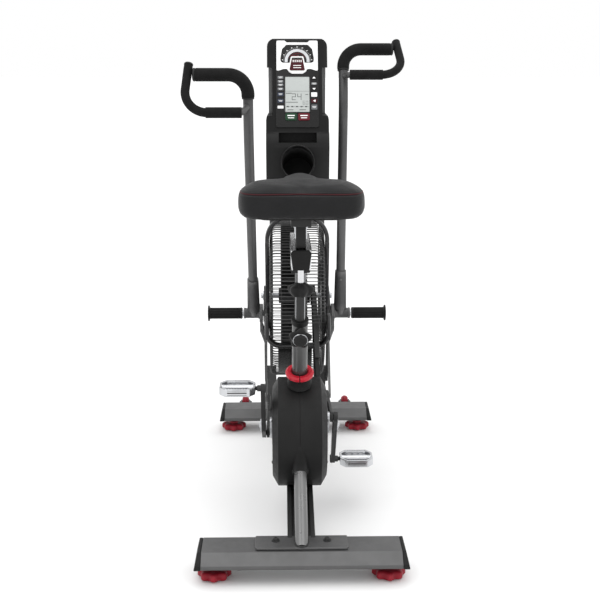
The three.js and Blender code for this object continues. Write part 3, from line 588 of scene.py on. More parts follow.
# ---------------------------------------------------------------- frame
def socket_bolt(shape, origin, axis, radius=7, height=6):
    """A domed cap with a hexagon socket sunk in it."""
    axis = V(axis).normalized()
    head = [(0, radius), (height * 0.55, radius), (height * 0.85, radius * 0.86), (height, radius * 0.62)]
    shape.lathe(head, origin, axis, 40)
    socket = V(origin) + axis * (height - 0.2)
    rings = [(0, radius * 0.6), (0.9, radius * 0.6), (0.9, radius * 0.45), (-0.4, radius * 0.4)]
    shape.lathe(rings, socket, axis, 6)
    return shape


def rear_tube():
    plate = rounded([(-122, 36), (122, 36), (122, 108), (-122, 108)], [9, 9, 3, 3], 6)
    Shape().prism(plate, level, 85.3, 91).finish("base_plate", "gunmetal", "frame", 1.2, 3, ("rear_tube",))
    # The tube takes the lighter copy of the gunmetal paint, whose paler colour is a painted highlight.
    Shape().lathe([(0, 17.5), (371, 17.5)], (0, 53, 80.6), (0, 310, 186), 64).finish(
        "rear_tube_bar", "highlit_gunmetal", "frame"
    )
    bead = [V((18.6 * math.cos(a), 71 + 34 * math.sin(a), 92)) for a in around(40)]
    Shape().sweep(bead, 2.2, 10, closed=True).finish("tube_weld", "black_steel", "frame", crease=80)
    struts = Shape()
    for side in SIDES.values():
        struts.side_plate([(92, 90.5), (108, 90.5), (392, 116), (392, 130), (330, 134)], side * 25, side * 37)
    struts.side_plate([(104, 91), (109, 91), (392, 117), (392, 122)], -25.5, 25.5)
    struts.finish("rear_struts", "black_steel", "frame", 2.5, 3)
    bolts = Shape()
    for side in SIDES.values():
        bolts.lathe([(0, 11), (1.6, 11), (2, 10.4)], (side * 68, 78, 91), (0, 0, 1), 40)
        socket_bolt(bolts, (side * 68, 78, 92.6), (0, 0, 1), 7.5, 7)
    bolts.finish("base_bolts", "black_steel", "frame", crease=30)


def spine():
    tube = Shape().lathe([(0, 21.5), (374, 21.5), (375, 20.8), (375, 16), (320, 15.8)], SEAT_FOOT, SEAT_UP,
                         72)
    tube.side_plate([(395, 330), (430, 330), (672, 418), (672, 452), (395, 378)], -20, 20)
    tube.side_plate([(430, 240), (1139.5, 62), (1139.5, 80), (440, 300)], -20, 20)
    tube.finish("frame_tubes", "dark_tube", "frame", 3, 3, ("frame_spine",))
    lip = [(362, 21.6), (362, 23.4), (375, 23.4), (376.5, 22.6), (376.5, 15.7)]
    Shape().lathe(lip, SEAT_FOOT, SEAT_UP, 72).finish("seat_tube_lip", "plastic", "frame", 0.5)


def hoop():
    """Flat-oval tube: an arch over the fan, a cradle under it, and the two sides between."""
    shape = Shape()
    over = bent([(-96.2, 802, 700), (-96.2, 802, 852), (96.2, 802, 852), (96.2, 802, 700)], [74, 74], 16, 30)
    turn = math.radians(90)

    def flat(a):
        c, d = math.cos(a), math.sin(a)
        return abs(c) ** 0.7 * math.copysign(6.8, c), abs(d) ** 0.75 * math.copysign(20, d)

    shape.sweep([(p.x, p.y + (760 - p.z) * 0.18 if p.z < 760 else p.y, p.z) for p in over], 1, 32,
                lambda a: flat(a + turn))
    under = bent([(-97, 682, 560), (-97, 682, 460), (97, 682, 460), (97, 682, 560)], [42, 42], 14, 30)
    shape.sweep(under, 1, 32, lambda a: flat(a + turn))
    side = rounded(
        [(780, 772), (828, 560), (812, 548), (664, 520), (662, 480), (700, 480), (840, 492), (876, 500),
         (881, 530), (862, 600), (820, 772)],
        [4, 60, 30, 14, 8, 14, 60, 14, 20, 60, 4], 6)
    for s in SIDES.values():
        shape.side_plate(side, s * 89.6, s * 102.6)
    shape.finish("hoop_tubes", "dark_tube", "frame", 2.4, 3, ("hoop_frame",))


def front_legs():
    for name, s in SIDES.items():
        refined("front_leg_" + name, "black_steel", 2.0, 3)
        nuts = Shape()
        nuts.lathe([(0, 15), (3, 15), (3.5, 14)], (s * 110.1, *FAN), (s, 0, 0), 40)
        nuts.lathe([(0, 11), (5.5, 11), (7, 9.5)], (s * 113, *FAN), (s, 0, 0), 6)
        nuts.finish("fan_nut_" + name, "steel", "frame", crease=25)


# ---------------------------------------------------------------- drive covers and fan
def shrouds():
    outline = lambda grow: capsule(*COVER, COVER_RADIUS + grow, *COVER_NOSE, NOSE_RADIUS + grow, 40)
    for name, s in SIDES.items():
        stations = [(0.12, -1.0), (0.5, -0.2), (0.9, 0), (60, 0), (61.5, -0.5), (76.2, -26), (77.6, -29),
                    (78, -33)]
        rings = [[V((s * x, y, z)) for y, z in outline(grow)] for x, grow in stations]
        cover = Shape().loft(rings)
        cover.lathe([(0, 60), (1.5, 60), (3.2, 56), (3.4, 40)], (s * 76.2, *CRANK), (s, 0, 0), 72)
        cover.finish("shroud_shell_" + name, "plastic", "frame", 0, 2, ("shroud_" + name,), 34)
    boss = Shape().lathe(
        [(0, 19), (0, 21.5), (1.5, 22.8), (41, 23.5), (91, 27)], (0, 262, 206), (0, 310, 186), 64)
    boss.lathe([(0, 21.5), (30, 20.5), (60, 16.5), (80, 12.5), (86, 4)], (0, 268, 206), (0, 2, 80), 48)
    boss.finish("tube_boss", "plastic", "frame", crease=35)
    screws = Shape()
    for x in (-24, 24):
        socket_bolt(screws, (x, 366, 424), (0, -0.31, 0.95), 4.4, 2.2)
    screws.finish("shroud_screws", "black_steel", "frame", crease=30)
    rivets = Shape()
    for s in SIDES.values():
        for a in (35, 145, 215, 325):
            y, z = COVER[0] + 108 * math.cos(math.radians(a)), COVER[1] + 108 * math.sin(math.radians(a))
            socket_bolt(rivets, (s * 77.4, y, z), (s, 0, 0), 5, 2.2)
    rivets.finish("cover_screws", "black_steel", "frame", crease=30)


def collar():
    """A split clamp ring on the seat tube, over the soft boot that closes the covers' opening."""
    axis = SEAT_UP.normalized()
    profile = rounded([(22.2, 0), (37, 0), (40, 3), (40, 10), (35, 14), (26, 14), (22.2, 10)], 1.2, 3)
    back = V((0, -1, 0)) - axis * axis.dot(V((0, -1, 0)))
    back.normalize()
    side = axis.cross(back)
    rings = []
    for i in range(61):
        a = math.radians(2.4 + 355.2 * i / 60)
        out = back * math.cos(a) + side * math.sin(a)
        rings.append([on_seat_tube(185) + axis * h + out * r for r, h in profile])
    Shape().loft(rings).finish("seat_collar_ring", "red", "frame", 0.5, 2, ("seat_collar",), 40)
    boot = [(150, 34), (160, 35), (163, 33), (170, 32), (173, 29.5), (181, 29), (184.6, 27), (184.6, 22.2),
            (150, 22.2)]
    rings = []
    for a in around(72):
        out = back * math.cos(a) + side * math.sin(a)
        rings.append([SEAT_FOOT + axis * h + out * r for h, r in boot])
    Shape().loft(rings, ends=False).finish("seat_collar_boot", "plastic", "frame", crease=35)


def belt_parts():
    refined("drive_belt", "rubber", 0.5, 1)
    for node in ("drive_pulley", "fan_pulley"):
        refined(node, "black_steel", 0.5, 1)
    refined("belt_guard", "black_steel", 1.0, 2)
    refined("fan_deflector", "gloss", 1.0, 2)


def fan():
    shape = Shape()
    y, z = FAN
    hub = [(-60, 24), (-59, 26), (-40, 26), (-34, 34), (-16, 36), (-16, 74), (-6, 74), (-6, 36),
           (30, 34), (36, 26), (45, 26), (46, 24)]
    shape.lathe(hub, (0, y, z), (1, 0, 0), 64)
    count = 22
    for i in range(count):
        turn = 360 * i / count
        blade = []
        for k in range(7):
            r = 62 + (242 - 62) * k / 6
            lead = math.radians(turn + 9 * (k / 6) ** 2)
            blade.append((r, lead))
        thick = 0.8
        outline = [(r * math.cos(a) - thick * math.sin(a), r * math.sin(a) + thick * math.cos(a))
                   for r, a in blade]
        outline += [(r * math.cos(a) + thick * math.sin(a), r * math.sin(a) - thick * math.cos(a))
                    for r, a in reversed(blade)]
        shape.side_plate([(y + u, z + v) for u, v in outline], -53, 31)
    for x0, x1 in ((-53, -51), (29, 31)):
        ring = [(x0, 230), (x0, 244), (x1, 244), (x1, 230)]
        rings = [[V((x, y + r * math.cos(a), z + r * math.sin(a))) for x, r in ring] for a in around(96)]
        shape.loft(rings, ends=False)
    shape.finish("fan_rotor", "black_steel", "fan", 0, 2, ("fan_wheel",), 30)
    refined("fan_axle", "steel", 1.0, 2)


def guards():
    """Each half of the cage: wires from the hub plate that turn across the rim, with hoops to hold them."""
    count = 140
    y0, z0 = FAN
    belt_way = math.atan2(CRANK[1] - z0, CRANK[0] - y0)
    face, rim = CAGE_HALF - 1.5, CAGE - 2.4
    for name, s in SIDES.items():
        wires = Shape()
        for i in range(count):
            a = 2 * math.pi * (i + 0.5) / count
            place = lambda x, r: V((s * x, y0 + r * math.cos(a), z0 + r * math.sin(a)))
            off = abs(math.remainder(a - belt_way, 2 * math.pi))
            path = [place(face - 0.6, 128 if i % 2 else 44), place(face, 200), place(face, rim - 16)]
            if s > 0 and off < math.radians(18):
                path += [place(face - 2, rim - 8), place(face - 8, rim - 3)]
            else:
                path += [place(face - 2, rim - 8), place(face - 7, rim - 2.5), place(face - 15, rim),
                         place(2.5, rim)]
            wires.sweep(path, 1.35, 6)
        wires.finish("cage_wires_" + name, "wire", "frame", 0, 2, ("fan_guard_" + name,), 75)
        hoops = Shape()
        for x, r, thick in ((face - 2.5, 128, 1.9), (face - 2.8, 190, 1.9), (face - 4, rim - 8, 2.2),
                            (2.4, rim - 2, 2.6)):
            ring = [V((s * x, y0 + r * math.cos(a), z0 + r * math.sin(a))) for a in around(96)]
            hoops.sweep(ring, thick, 8, closed=True)
        plate = [(0, 46), (2.5, 48), (4.6, 46.5), (4.8, 12), (4.2, 11.4)]
        hoops.lathe(plate, (s * (CAGE_HALF - 5), y0, z0), (s, 0, 0), 72)
        hoops.finish("cage_hoops_" + name, "wire", "frame", 0, 2, (), 50)
    strap = Shape()
    for turn in (60, 120, 240, 300):
        a = math.radians(turn)
        for x in (-3, 3):
            spot = (x - 4, y0 + (rim - 2) * math.cos(a), z0 + (rim - 2) * math.sin(a))
            strap.lathe([(0, 4.5), (7, 4.5), (8, 3.5)], spot, (1, 0, 0), 20)
    strap.finish("cage_clips", "black_steel", "frame", crease=40)


# ---------------------------------------------------------------- crank and pedals
def crank_parts():
    for name, s in SIDES.items():
        half = 180 if s > 0 else 0
        a = math.radians(CRANK_ANGLE + half)
        y, z = CRANK[0] + CRANK_LENGTH * math.cos(a), CRANK[1] + CRANK_LENGTH * math.sin(a)
        refined("crank_arm_" + name, "black_steel", 2.6, 3)
        refined("connecting_rod_" + name, "black_steel", 1.8, 3)
        cap = Shape()
        cap.lathe([(0, 19), (2, 19), (4, 16), (4.4, 8)], (s * 109.9, *CRANK), (s, 0, 0), 48)
        socket_bolt(cap, (s * 112.5, *CRANK), (s, 0, 0), 8, 5)
        cap.finish("crank_cap_" + name, "steel", "crank", crease=28)
        eye = Shape().lathe([(0, 12.5), (1.5, 12.5), (2.5, 11)], (s * 97.6, y, z), (-s, 0, 0), 40)
        eye.lathe([(0, 10), (9, 10), (9.8, 9)], (s * 110, y, z), (s, 0, 0), 6)
        eye.finish("pedal_nut_" + name, "black_steel", "crank", crease=28)
        pedal(name, s, y, z)
    refined("crank_axle", "steel", 1.2, 2)


def pedal(name, s, y0, z0):
    """A cast cage with sloping corners, treads whose slots are dark strips of painted shade, and a barrel
    that turns on the spindle.
    """
    body = f"pedal_{name}_body"
    at = lambda x, y, z: V((s * (175 + x), y0 + y, z0 + z))
    cage = Shape()
    outer = [(-50, -24), (-34, -45), (34, -45), (50, -24), (50, 24), (34, 45), (-34, 45), (-50, 24)]
    inner = [(-43, -20), (-29, -36), (29, -36), (43, -20), (43, 20), (29, 36), (-29, 36), (-43, 20)]
    outer, inner = rounded(outer, 6, 4), rounded(inner, 5, 4)
    rings = []
    for (xa, ya), (xb, yb) in zip(outer, inner):
        xc, yc = xa * 0.985, ya * 0.985
        rings.append([at(xa, ya, -9), at(xa, ya, 9.5), at(xc, yc, 11), at(xb, yb, 9.5), at(xb, yb, -9),
                      at(xc, yc, -11)])
    cage.loft(rings, ends=False)
    for side in (-1, 1):
        for low, high in ((-11, -6.5), (6.5, 11)):
            cage.prism(rectangle(-31, 31, *sorted((side * 24, side * 31)), 2), at, low, high)
        for x in (-26, -9, 9, 26):
            cage.prism(rectangle(x - 2.4, x + 2.4, *sorted((side * 10, side * 37)), 1), at, -6.5, 6.5)
    for x in (-28, 28):
        cage.prism(rectangle(x - 4, x + 4, -38, 38, 1), at, -4.5, 4.5)
    cage.finish("pedal_cage_" + name, "aluminium", body, 0.8, 2, ("pedal_" + name,), 35)
    # Painted shade: thin dark strips on the cage's faces stand for the shade inside its slots; no slot is
    # cut.
    slot_shade = Shape()
    for side in (-1, 1):
        for low, high in ((-6.6, -5.6), (-1.8, 1.8), (6.2, 7)):
            slot_shade.prism(rectangle(-27, 27, *sorted((side * 44.6, side * 45.5)), 0.2), at, low, high)
    slot_shade.finish("pedal_slot_shade_" + name, "dark_tube", body, crease=30)
    teeth = Shape()
    for side in (-1, 1):
        for k in range(9):
            x = -30 + 7.5 * k
            for up in (-1, 1):
                teeth.lathe([(0, 2.4), (1.6, 1.9), (2.2, 0.9)], at(x, side * 40.5, up * 10), (0, 0, up), 12)
    teeth.finish("pedal_teeth_" + name, "aluminium", body, crease=40)
    barrel = [(-50.6, 9), (-50, 11), (-44, 11.4), (-40, 10.6), (40, 10.6), (44, 11.4), (48.5, 11),
              (50.4, 8.5), (50.6, 3)]
    Shape().lathe(barrel, at(0, 0, 0), (s, 0, 0), 56).finish(
        "pedal_barrel_" + name, "aluminium", body, crease=35
    )


# ---------------------------------------------------------------- arms, handlebars and pegs
def arms():
    for name, s in SIDES.items():
        body = f"arm_{name}_body"
        arm = lambda x, y, z: on_arm(s, x, y, z)
        mast = lambda z: arm(142, -215 * z / 660, z)
        loop = lambda x, up: arm(x, -267 + 0.593 * up, 729 + 0.805 * up)
        refined("arm_" + name, "gunmetal", 1.4, 2, f"arm_base_{name}", crease=30)
        axis = mast(100) - mast(0)
        socket = Shape().lathe(
            [(16, 19), (18, 20.5), (40, 20.2), (128, 18.6), (139, 18.3), (141.5, 17), (141.5, 14.5)],
            mast(0), axis, 64)
        socket.lathe([(0, 3.4), (2.6, 3.4), (3.2, 2.4)], mast(112) + V((0, -17.6, 0)), (0, -1, 0.2), 20)
        socket.finish("mast_socket_" + name, "gunmetal", body, crease=35)
        hub = Shape().lathe([(0, 30), (1.2, 31), (9.5, 31), (11, 29.6), (11.2, 19), (15, 18.2)],
                            arm(112, 0, 0), (s, 0, 0), 64)
        hub.lathe([(0, 16.6), (44, 16.6), (45, 18), (49.5, 18), (50.5, 17), (50.5, 11)], arm(124, 0, 0),
                  (s, 0, 0), 64)
        hub.finish("pivot_hub_" + name, "gunmetal", body, crease=35)

        knee, top, end = arm(142, -215, 660), arm(142, -200, 820), arm(296, -200, 820)
        bar = Shape().sweep(bent([mast(40), knee, top, end], [260, 55], 16), 14.3, 40)
        low_path = bent([loop(307, 143), loop(322.5, 0), loop(156, 0), arm(146, -222, 734)], [62, 14], 14)
        bar.sweep(low_path, 9, 28)
        bar.finish("handlebar_bar_" + name, "gunmetal", body, 1.2, 2, ("handlebar_" + name,))

        start = knee.lerp(top, 0.6)
        grip_path = bent([start, top, arm(291, -200, 820)], [55], 24, 6)
        radii = [18.5] * len(grip_path)
        radii[0], radii[-1] = 17.0, 16.4
        grip = Shape().sweep(grip_path, radii, 48)
        grip.finish("top_grip_foam_" + name, "foam", body, 1.8, 3, ("top_grip_" + name,), 60)
        cap = Shape()
        cap.lathe([(0, 18.6), (4, 18.6), (6.5, 16), (7.5, 10)], arm(289, -200, 820),
                  arm(1, 0, 0) - arm(0, 0, 0), 48)
        cap.lathe([(-3, 15.6), (-2.4, 17.6), (1.5, 17.6), (2, 15)], start, top - knee, 48)
        cap.finish("grip_ends_" + name, "plastic", body, crease=40)

        side_path = bent([loop(306.6, 147), loop(322.5, 0), loop(158, 0)], [62], 24, 5)
        fatten = [12.5] * len(side_path)
        fatten[0], fatten[1] = 9.0, 11.6
        low = Shape().sweep(side_path, fatten, 40)
        low.sweep(bent([loop(258, 0), loop(158, 0)], [], 1, 5), 15, 40)
        low.finish("lower_grip_foam_" + name, "foam", body, 1.4, 3, ("lower_grip_" + name,), 60)
        horn_axis = loop(306.6, 147) - loop(307.6, 138)
        tip = Shape().lathe([(-4, 12.8), (-1, 12.9), (1.2, 11), (2.2, 6), (2.4, 2)], loop(306.7, 146),
                            horn_axis, 40)
        tip.finish("horn_cap_" + name, "plastic", body, crease=50)

        refined("peg_axle_" + name, "steel", 0.8, 2)
        ribs = lambda a: 1 + 0.028 * math.copysign(1, math.sin(14 * a)) * min(1, abs(math.sin(14 * a)) * 3)
        peg = Shape().lathe([(0, 16), (1.5, 17.4), (5, 17.9), (104, 17.9), (108, 17.4)], (s * 179, *PIVOT),
                            (s, 0, 0), 168, ribs)
        peg.finish("foot_peg_sleeve_" + name, "rubber", "frame", 0, 2, ("foot_peg_" + name,), 45)
        rings = Shape()
        for x in (181, 283):
            rings.lathe([(0, 17), (0.6, 18.9), (3, 18.9), (3.6, 17)], (s * x, *PIVOT), (s, 0, 0), 64)
        rings.lathe([(0, 24), (1, 26), (4, 26), (5, 24.8), (5, 8)], (s * 287, *PIVOT), (s, 0, 0), 72)
        rings.finish("peg_end_" + name, "plastic", "frame", crease=35)


# ---------------------------------------------------------------- seat and its post
def plan_outline(count=96):
    """The saddle seen from above, broad at the back with a round nose, as (x, y)."""
    bezier = lambda p, t: sum(
        (V(q) * w for q, w in zip(p, ((1 - t) ** 3, 3 * t * (1 - t) ** 2, 3 * t * t * (1 - t), t**3))),
        V((0, 0)))
    runs = [[(99, 35), (154, 35), (160, 80), (160, 130)], [(160, 130), (160, 215), (78, 235), (62, 280)],
            [(62, 280), (50, 325), (30, 340), (0, 340)]]
    points = [V((0, 35)), V((30, 35)), V((60, 35))]
    points += [bezier(r, k / 24) for r in runs for k in range(24)] + [V((0, 340))]
    half = []
    lengths = [0.0]
    for a, b in zip(points, points[1:]):
        lengths.append(lengths[-1] + (b - a).length)
    n = count // 2
    j = 0
    for k in range(n + 1):
        want = lengths[-1] * k / n
        while j < len(points) - 2 and lengths[j + 1] < want:
            j += 1
        t = (want - lengths[j]) / max(1e-9, lengths[j + 1] - lengths[j])
        half.append(points[j].lerp(points[j + 1], t))
    return half + [V((-p.x, p.y)) for p in reversed(half[1:-1])]


def seat_top(x, y):
    """How far the top stands over its rim: two soft lobes, and a ridge that runs forward into the nose."""
    lobes = 8.0 * math.exp(-(((abs(x) - 82) / 52) ** 2)) * math.exp(-(((y - 120) / 80) ** 2))
    ridge = 13.0 * math.exp(-((x / 34) ** 2)) / (1 + math.exp(-(y - 95) / 16))
    valley = -5.0 * math.exp(-((x / 46) ** 2)) * math.exp(-(((y - 60) / 40) ** 2))
    return lobes + ridge + valley


def seat():
    centre = V((0, SADDLE_MIDDLE))
    outline = plan_outline()
    shrink = 1.012
    levels = [(0.25, 0), (0.55, 0), (0.8, 0), (0.93, 0.5), (0.975, 5), (0.995, 14), (1.0, 28), (1.0, 44),
              (0.985, 56), (0.955, 63), (0.9, 67.5), (0.8, 70), (0.62, 71.5), (0.4, 72), (0.2, 72)]
    rings = []
    for f, h in levels:
        ring = []
        for p in outline:
            q = centre + (p - centre) * f * shrink
            lift = seat_top(q.x, q.y) * max(0.0, min(1.0, (h - 48) / 20)) if h > 48 else 0
            ring.append(V((q.x, q.y, 949 + h * 1.02 + lift * 0.8)))
        rings.append(ring)
    shape = Shape().loft(rings)
    cushion = shape.finish("saddle", "vinyl", "seat", 0, 2, ("seat_cushion",), 180)
    cushion.parent = None
    swell(cushion)
    pinch(cushion, row((0, 0, 1010)).z)
    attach(cushion, "seat")
    trim(cushion)


def swell(cushion):
    """Cloth under pressure rounds the pad out, and no point moves more than the cap."""
    cap = 0.008
    mesh = cushion.data
    remesh = cushion.modifiers.new("remesh", "REMESH")
    remesh.mode, remesh.voxel_size = "VOXEL", 0.005
    applied(cushion)
    mesh = cushion.data
    start = [v.co.copy() for v in mesh.vertices]
    cloth = cushion.modifiers.new("cloth", "CLOTH")
    cloth.settings.use_pressure = True
    cloth.settings.uniform_pressure_force = 4
    cloth.settings.effector_weights.gravity = 0
    cloth.point_cache.frame_start, cloth.point_cache.frame_end = 1, 20
    scene = bpy.context.scene
    for step in range(1, 21):
        scene.frame_set(step)
    applied(cushion)
    scene.frame_set(1)
    mesh = cushion.data
    for vertex, before in zip(mesh.vertices, start):
        move = vertex.co - before
        if move.length > cap:
            move *= cap / move.length
        vertex.co = before + move
    floor = row((0, 0, 947.5)).z
    for vertex in mesh.vertices:
        vertex.co.z = max(vertex.co.z, floor)
    smooth = cushion.modifiers.new("smooth", "SMOOTH")
    smooth.factor, smooth.iterations = 0.5, 4
    applied(cushion)
    cushion.data.shade_smooth()
    subdivide = cushion.modifiers.new("subdivision", "SUBSURF")
    subdivide.levels = subdivide.render_levels = 1
    applied(cushion)
    cushion.data.shade_smooth()


def applied(obj):
    """The object's modifiers become part of its mesh."""
    graph = bpy.context.evaluated_depsgraph_get()
    graph.update()
    mesh = bpy.data.meshes.new_from_object(
        obj.evaluated_get(graph), preserve_all_data_layers=True, depsgraph=graph
    )
    obj.modifiers.clear()
    obj.data = mesh


def pinch(cushion, seam):
    """The seam's tension draws the side in along its line."""
    centre = row((0, 168, 0))
    for vertex in cushion.data.vertices:
        near = math.exp(-(((vertex.co.z - seam) / 0.0035) ** 2))
        out = V((vertex.co.x - centre.x, vertex.co.y - centre.y, 0))
        if near > 0.01 and out.length > 0.05:
            vertex.co -= out.normalized() * 0.0016 * near
    cushion.data.update()


def trim(cushion):
    """Piping laid in the seam, and a row of stitches on each side of it, all on the pad's own surface."""
    tree = BVHTree.FromObject(cushion, bpy.context.evaluated_depsgraph_get())
    middle = row((0, SADDLE_MIDDLE, 0))

    def surface(p, z, out):
        point = row((p.x, p.y, z))
        target = middle + V((0, 0, z / 1000))
        origin = point + (point - target).normalized() * 0.08
        hit, normal, _, _ = tree.ray_cast(origin, (target - origin).normalized())
        return hit + normal * out if hit else point

    to_mm = lambda p: V((p.x * 1000, p.y * 1000 + MIDDLE, p.z * 1000))
    seam = [to_mm(surface(p, 1010, 0.0006)) for p in plan_outline(220)]
    Shape().sweep(seam, 1.4, 12, closed=True).finish("saddle_piping", "piping", "seat", crease=80)
    stitches = Shape()
    for height in (1014.5, 1005.5):
        dense = [to_mm(surface(p, height, 0.0002)) for p in plan_outline(500)]
        for i in range(0, len(dense) - 3, 3):
            a, b = dense[i], dense[i + 2]
            run = (b - a) * 0.85
            stitches.sweep([a, a + run * 0.5, a + run], [0.35, 0.62, 0.35], 6)
    stitches.finish("saddle_stitches", "thread", "seat", crease=80)
    pan = rounded([(-100, 70), (100, 70), (118, 150), (42, 290), (-42, 290), (-118, 150)], 30, 8)
    Shape().prism(pan, level, 943.6, 949.5).finish("saddle_pan", "plastic", "seat", 1.5, 3)


def seat_post():
    """The column, the fore-and-aft slider with its bright rails, and the two hand knobs."""
    post = Shape().lathe([(224, 14), (225, 15), (548, 15), (549, 14.2)], SEAT_FOOT, SEAT_UP, 64)
    post.finish("seat_post_tube", "black_steel", "seat_column", stands_for=("seat_post",))
    edges = Shape()
    for s in SIDES.values():
        edge = [on_seat_tube(d, 8.5) + V((s * 10.95, 0, 0)) for d in (378, 545)]
        edges.sweep([edge[0], edge[0].lerp(edge[1], 0.5), edge[1]], 1.5, 12)
    edges.finish("seat_post_edges", "steel", "seat_column", crease=60)
    head = Shape().prism(rounded([(-24, 786), (24, 786), (27, 804.4), (-27, 804.4)], 3), across, 204, 286)
    head.finish("slider_saddle", "black_steel", "seat_column", 1.5, 3)
    section = [(-24, 805), (24, 805), (26, 820), (26, 857), (13, 857), (13, 838), (-13, 838), (-13, 857),
               (-26, 857), (-26, 820)]
    rails = Shape().prism(section, across, 143, 437)
    rails.finish("slider_rails", "rail_chrome", "seat_column", 1.6, 3, ("slider_rail",))
    inlay = Shape().block(-12.6, 12.6, 150, 430, 837, 840)
    inlay.finish("slider_track", "plastic", "seat_column", 0.4)
    end = rounded([(-21, 805), (21, 805), (27, 849), (22, 856.6), (-22, 856.6), (-27, 849)],
                  [3, 3, 8, 8, 8, 8], 6)
    edges = Shape()
    for s in SIDES.values():
        for near, far in ((25.2, 26.8), (11.6, 13.4)):
            edges.block(*sorted((s * near, s * far)), 153, 427, 848, 857.9)
    edges.finish("slider_edges", "plastic", "seat_column", 0.4)
    caps = Shape()
    for y in (140, 428):
        caps.prism(end, across, y, y + 12)
    caps.finish("slider_end_caps", "plastic", "seat_column", 2, 3)
    refined("seat_carriage", "black_steel", 2.0, 3)
    clamp = Shape()
    for x in (-12, 12):
        for y in (190, 270):
            clamp.lathe([(0, 7), (5, 7), (6, 6)], (x, y, 914), (0, 0, -1), 6)
            clamp.rod((x, y, 880), (x, y, 921), 3.6)
    clamp.finish("clamp_bolts", "steel", "seat", crease=28)

    lobes = lambda a: 1 + 0.09 * math.cos(6 * a)
    knob = Shape().lathe(
        [(0, 15), (1.5, 22), (6, 26), (14, 31), (19, 32.5), (24, 32), (28, 27), (32, 18), (36, 12)],
        (0, 188, 728), (0, 0, 1), 96, lobes)
    stem = Shape().lathe([(0, 8), (34, 8), (36, 10), (41, 10)], (0, 188, 763.4), (0, 0, 1), 40)
    stem.finish("slide_knob_stem", "rail_chrome", "slide_knob_body", crease=35)
    knob.finish("slide_knob_grip", "plastic", "slide_knob_body", 0, 2, ("slide_knob",), 45)
    back = -(on_seat_tube(0) - on_seat_tube(0, 1))
    star = lambda a: 1 + 0.13 * math.cos(5 * a)
    start = on_seat_tube(347)
    grip = Shape().lathe([(23, 8), (40, 8), (43, 12), (46, 26), (50, 28.5), (56, 28), (60, 24), (62, 20)],
                         start, back, 100, star)
    grip.finish("height_knob_grip", "plastic", "height_knob_body", 0, 2, ("height_knob",), 45)
    face = Shape().lathe([(60, 19), (65, 19), (66.6, 17.4), (67, 12)], start, back, 64)
    face.finish("height_knob_face", "gloss", "height_knob_body", crease=40)
    ring = Shape().lathe([(60.5, 20.2), (62.4, 20.6), (63.6, 19.8), (63.6, 18.6)], start, back, 64)
    ring.finish("height_knob_ring", "steel", "height_knob_body", crease=50)
    housing = Shape().lathe([(20.5, 14), (21, 16), (22.4, 15), (22.4, 9)], start, back, 40)
    housing.finish("pin_housing", "black_steel", "frame", crease=40)


# ---------------------------------------------------------------- console
def strip(shape, x0, x1, a0, a1, low, high, radius=1.0):
    return shape.on_face(rectangle(x0, x1, a0, a1, radius, 3), low, high)


SEGMENTS = {
    "0": "abcdef", "1": "bc", "2": "abged", "3": "abgcd", "4": "fgbc", "5": "afgcd", "6": "afgedc",
    "7": "abc", "8": "abcdefg", "9": "abfgcd",
}


def digits(shape, text, x, along, width, height, out):
    """Seven-segment figures, the first with its left edge at x."""
    bar = width * 0.17
    half = height / 2
    spans = {
        "a": (0, width, height - bar, height), "b": (width - bar, width, half, height),
        "c": (width - bar, width, 0, half), "d": (0, width, 0, bar), "e": (0, bar, 0, half),
        "f": (0, bar, half, height), "g": (0, width, half - bar / 2, half + bar / 2),
    }
    for figure in text:
        for key in SEGMENTS[figure]:
            x0, x1, a0, a1 = spans[key]
            strip(shape, x + x0 + 0.3, x + x1 - 0.3, along + a0 + 0.3, along + a1 - 0.3, out, out + 0.25, 0.5)
        x += width * 1.35


def console_housing():
    refined("console_mast", "gunmetal", 2.6, 3)
    refined("console_shell", "plastic", 3.4, 4, angle=50)
    seam = Shape()
    for s in SIDES.values():
        seam.side_plate(rectangle(744, 850, 1059, 1060.2, 0.4, 2), s * 94.4, s * 95.3)
        for z in (985, 1120):
            socket_bolt(seam, (s * 94.2, 826, z), (s, 0, 0), 4.5, 2.2)
    seam.finish("console_seam", "gloss", "frame", crease=30)
    cup = Shape()
    axis = V((0, -0.92, 0.392))
    mouth = V((0, 656, 1034))
    rim = []
    for a in around(72):
        up = 50 * math.sin(a) / 0.958
        rim.append(V((50 * math.cos(a), 656.2 - 0.115 * up - 0.4, 1034 + up)))
    cup.sweep(rim, 2.1, 12, closed=True)
    cup.finish("cup_rim", "gloss", "frame", crease=60)
    well = [(-88, 0.1), (-88, 45), (-85, 47.6), (-4, 47.7), (-4, 46.6), (-84, 46.4), (-86.6, 44),
            (-86.8, 0.1)]
    Shape().lathe(well, mouth, axis, 72).finish("cup_lining", "rubber", "frame", crease=40)


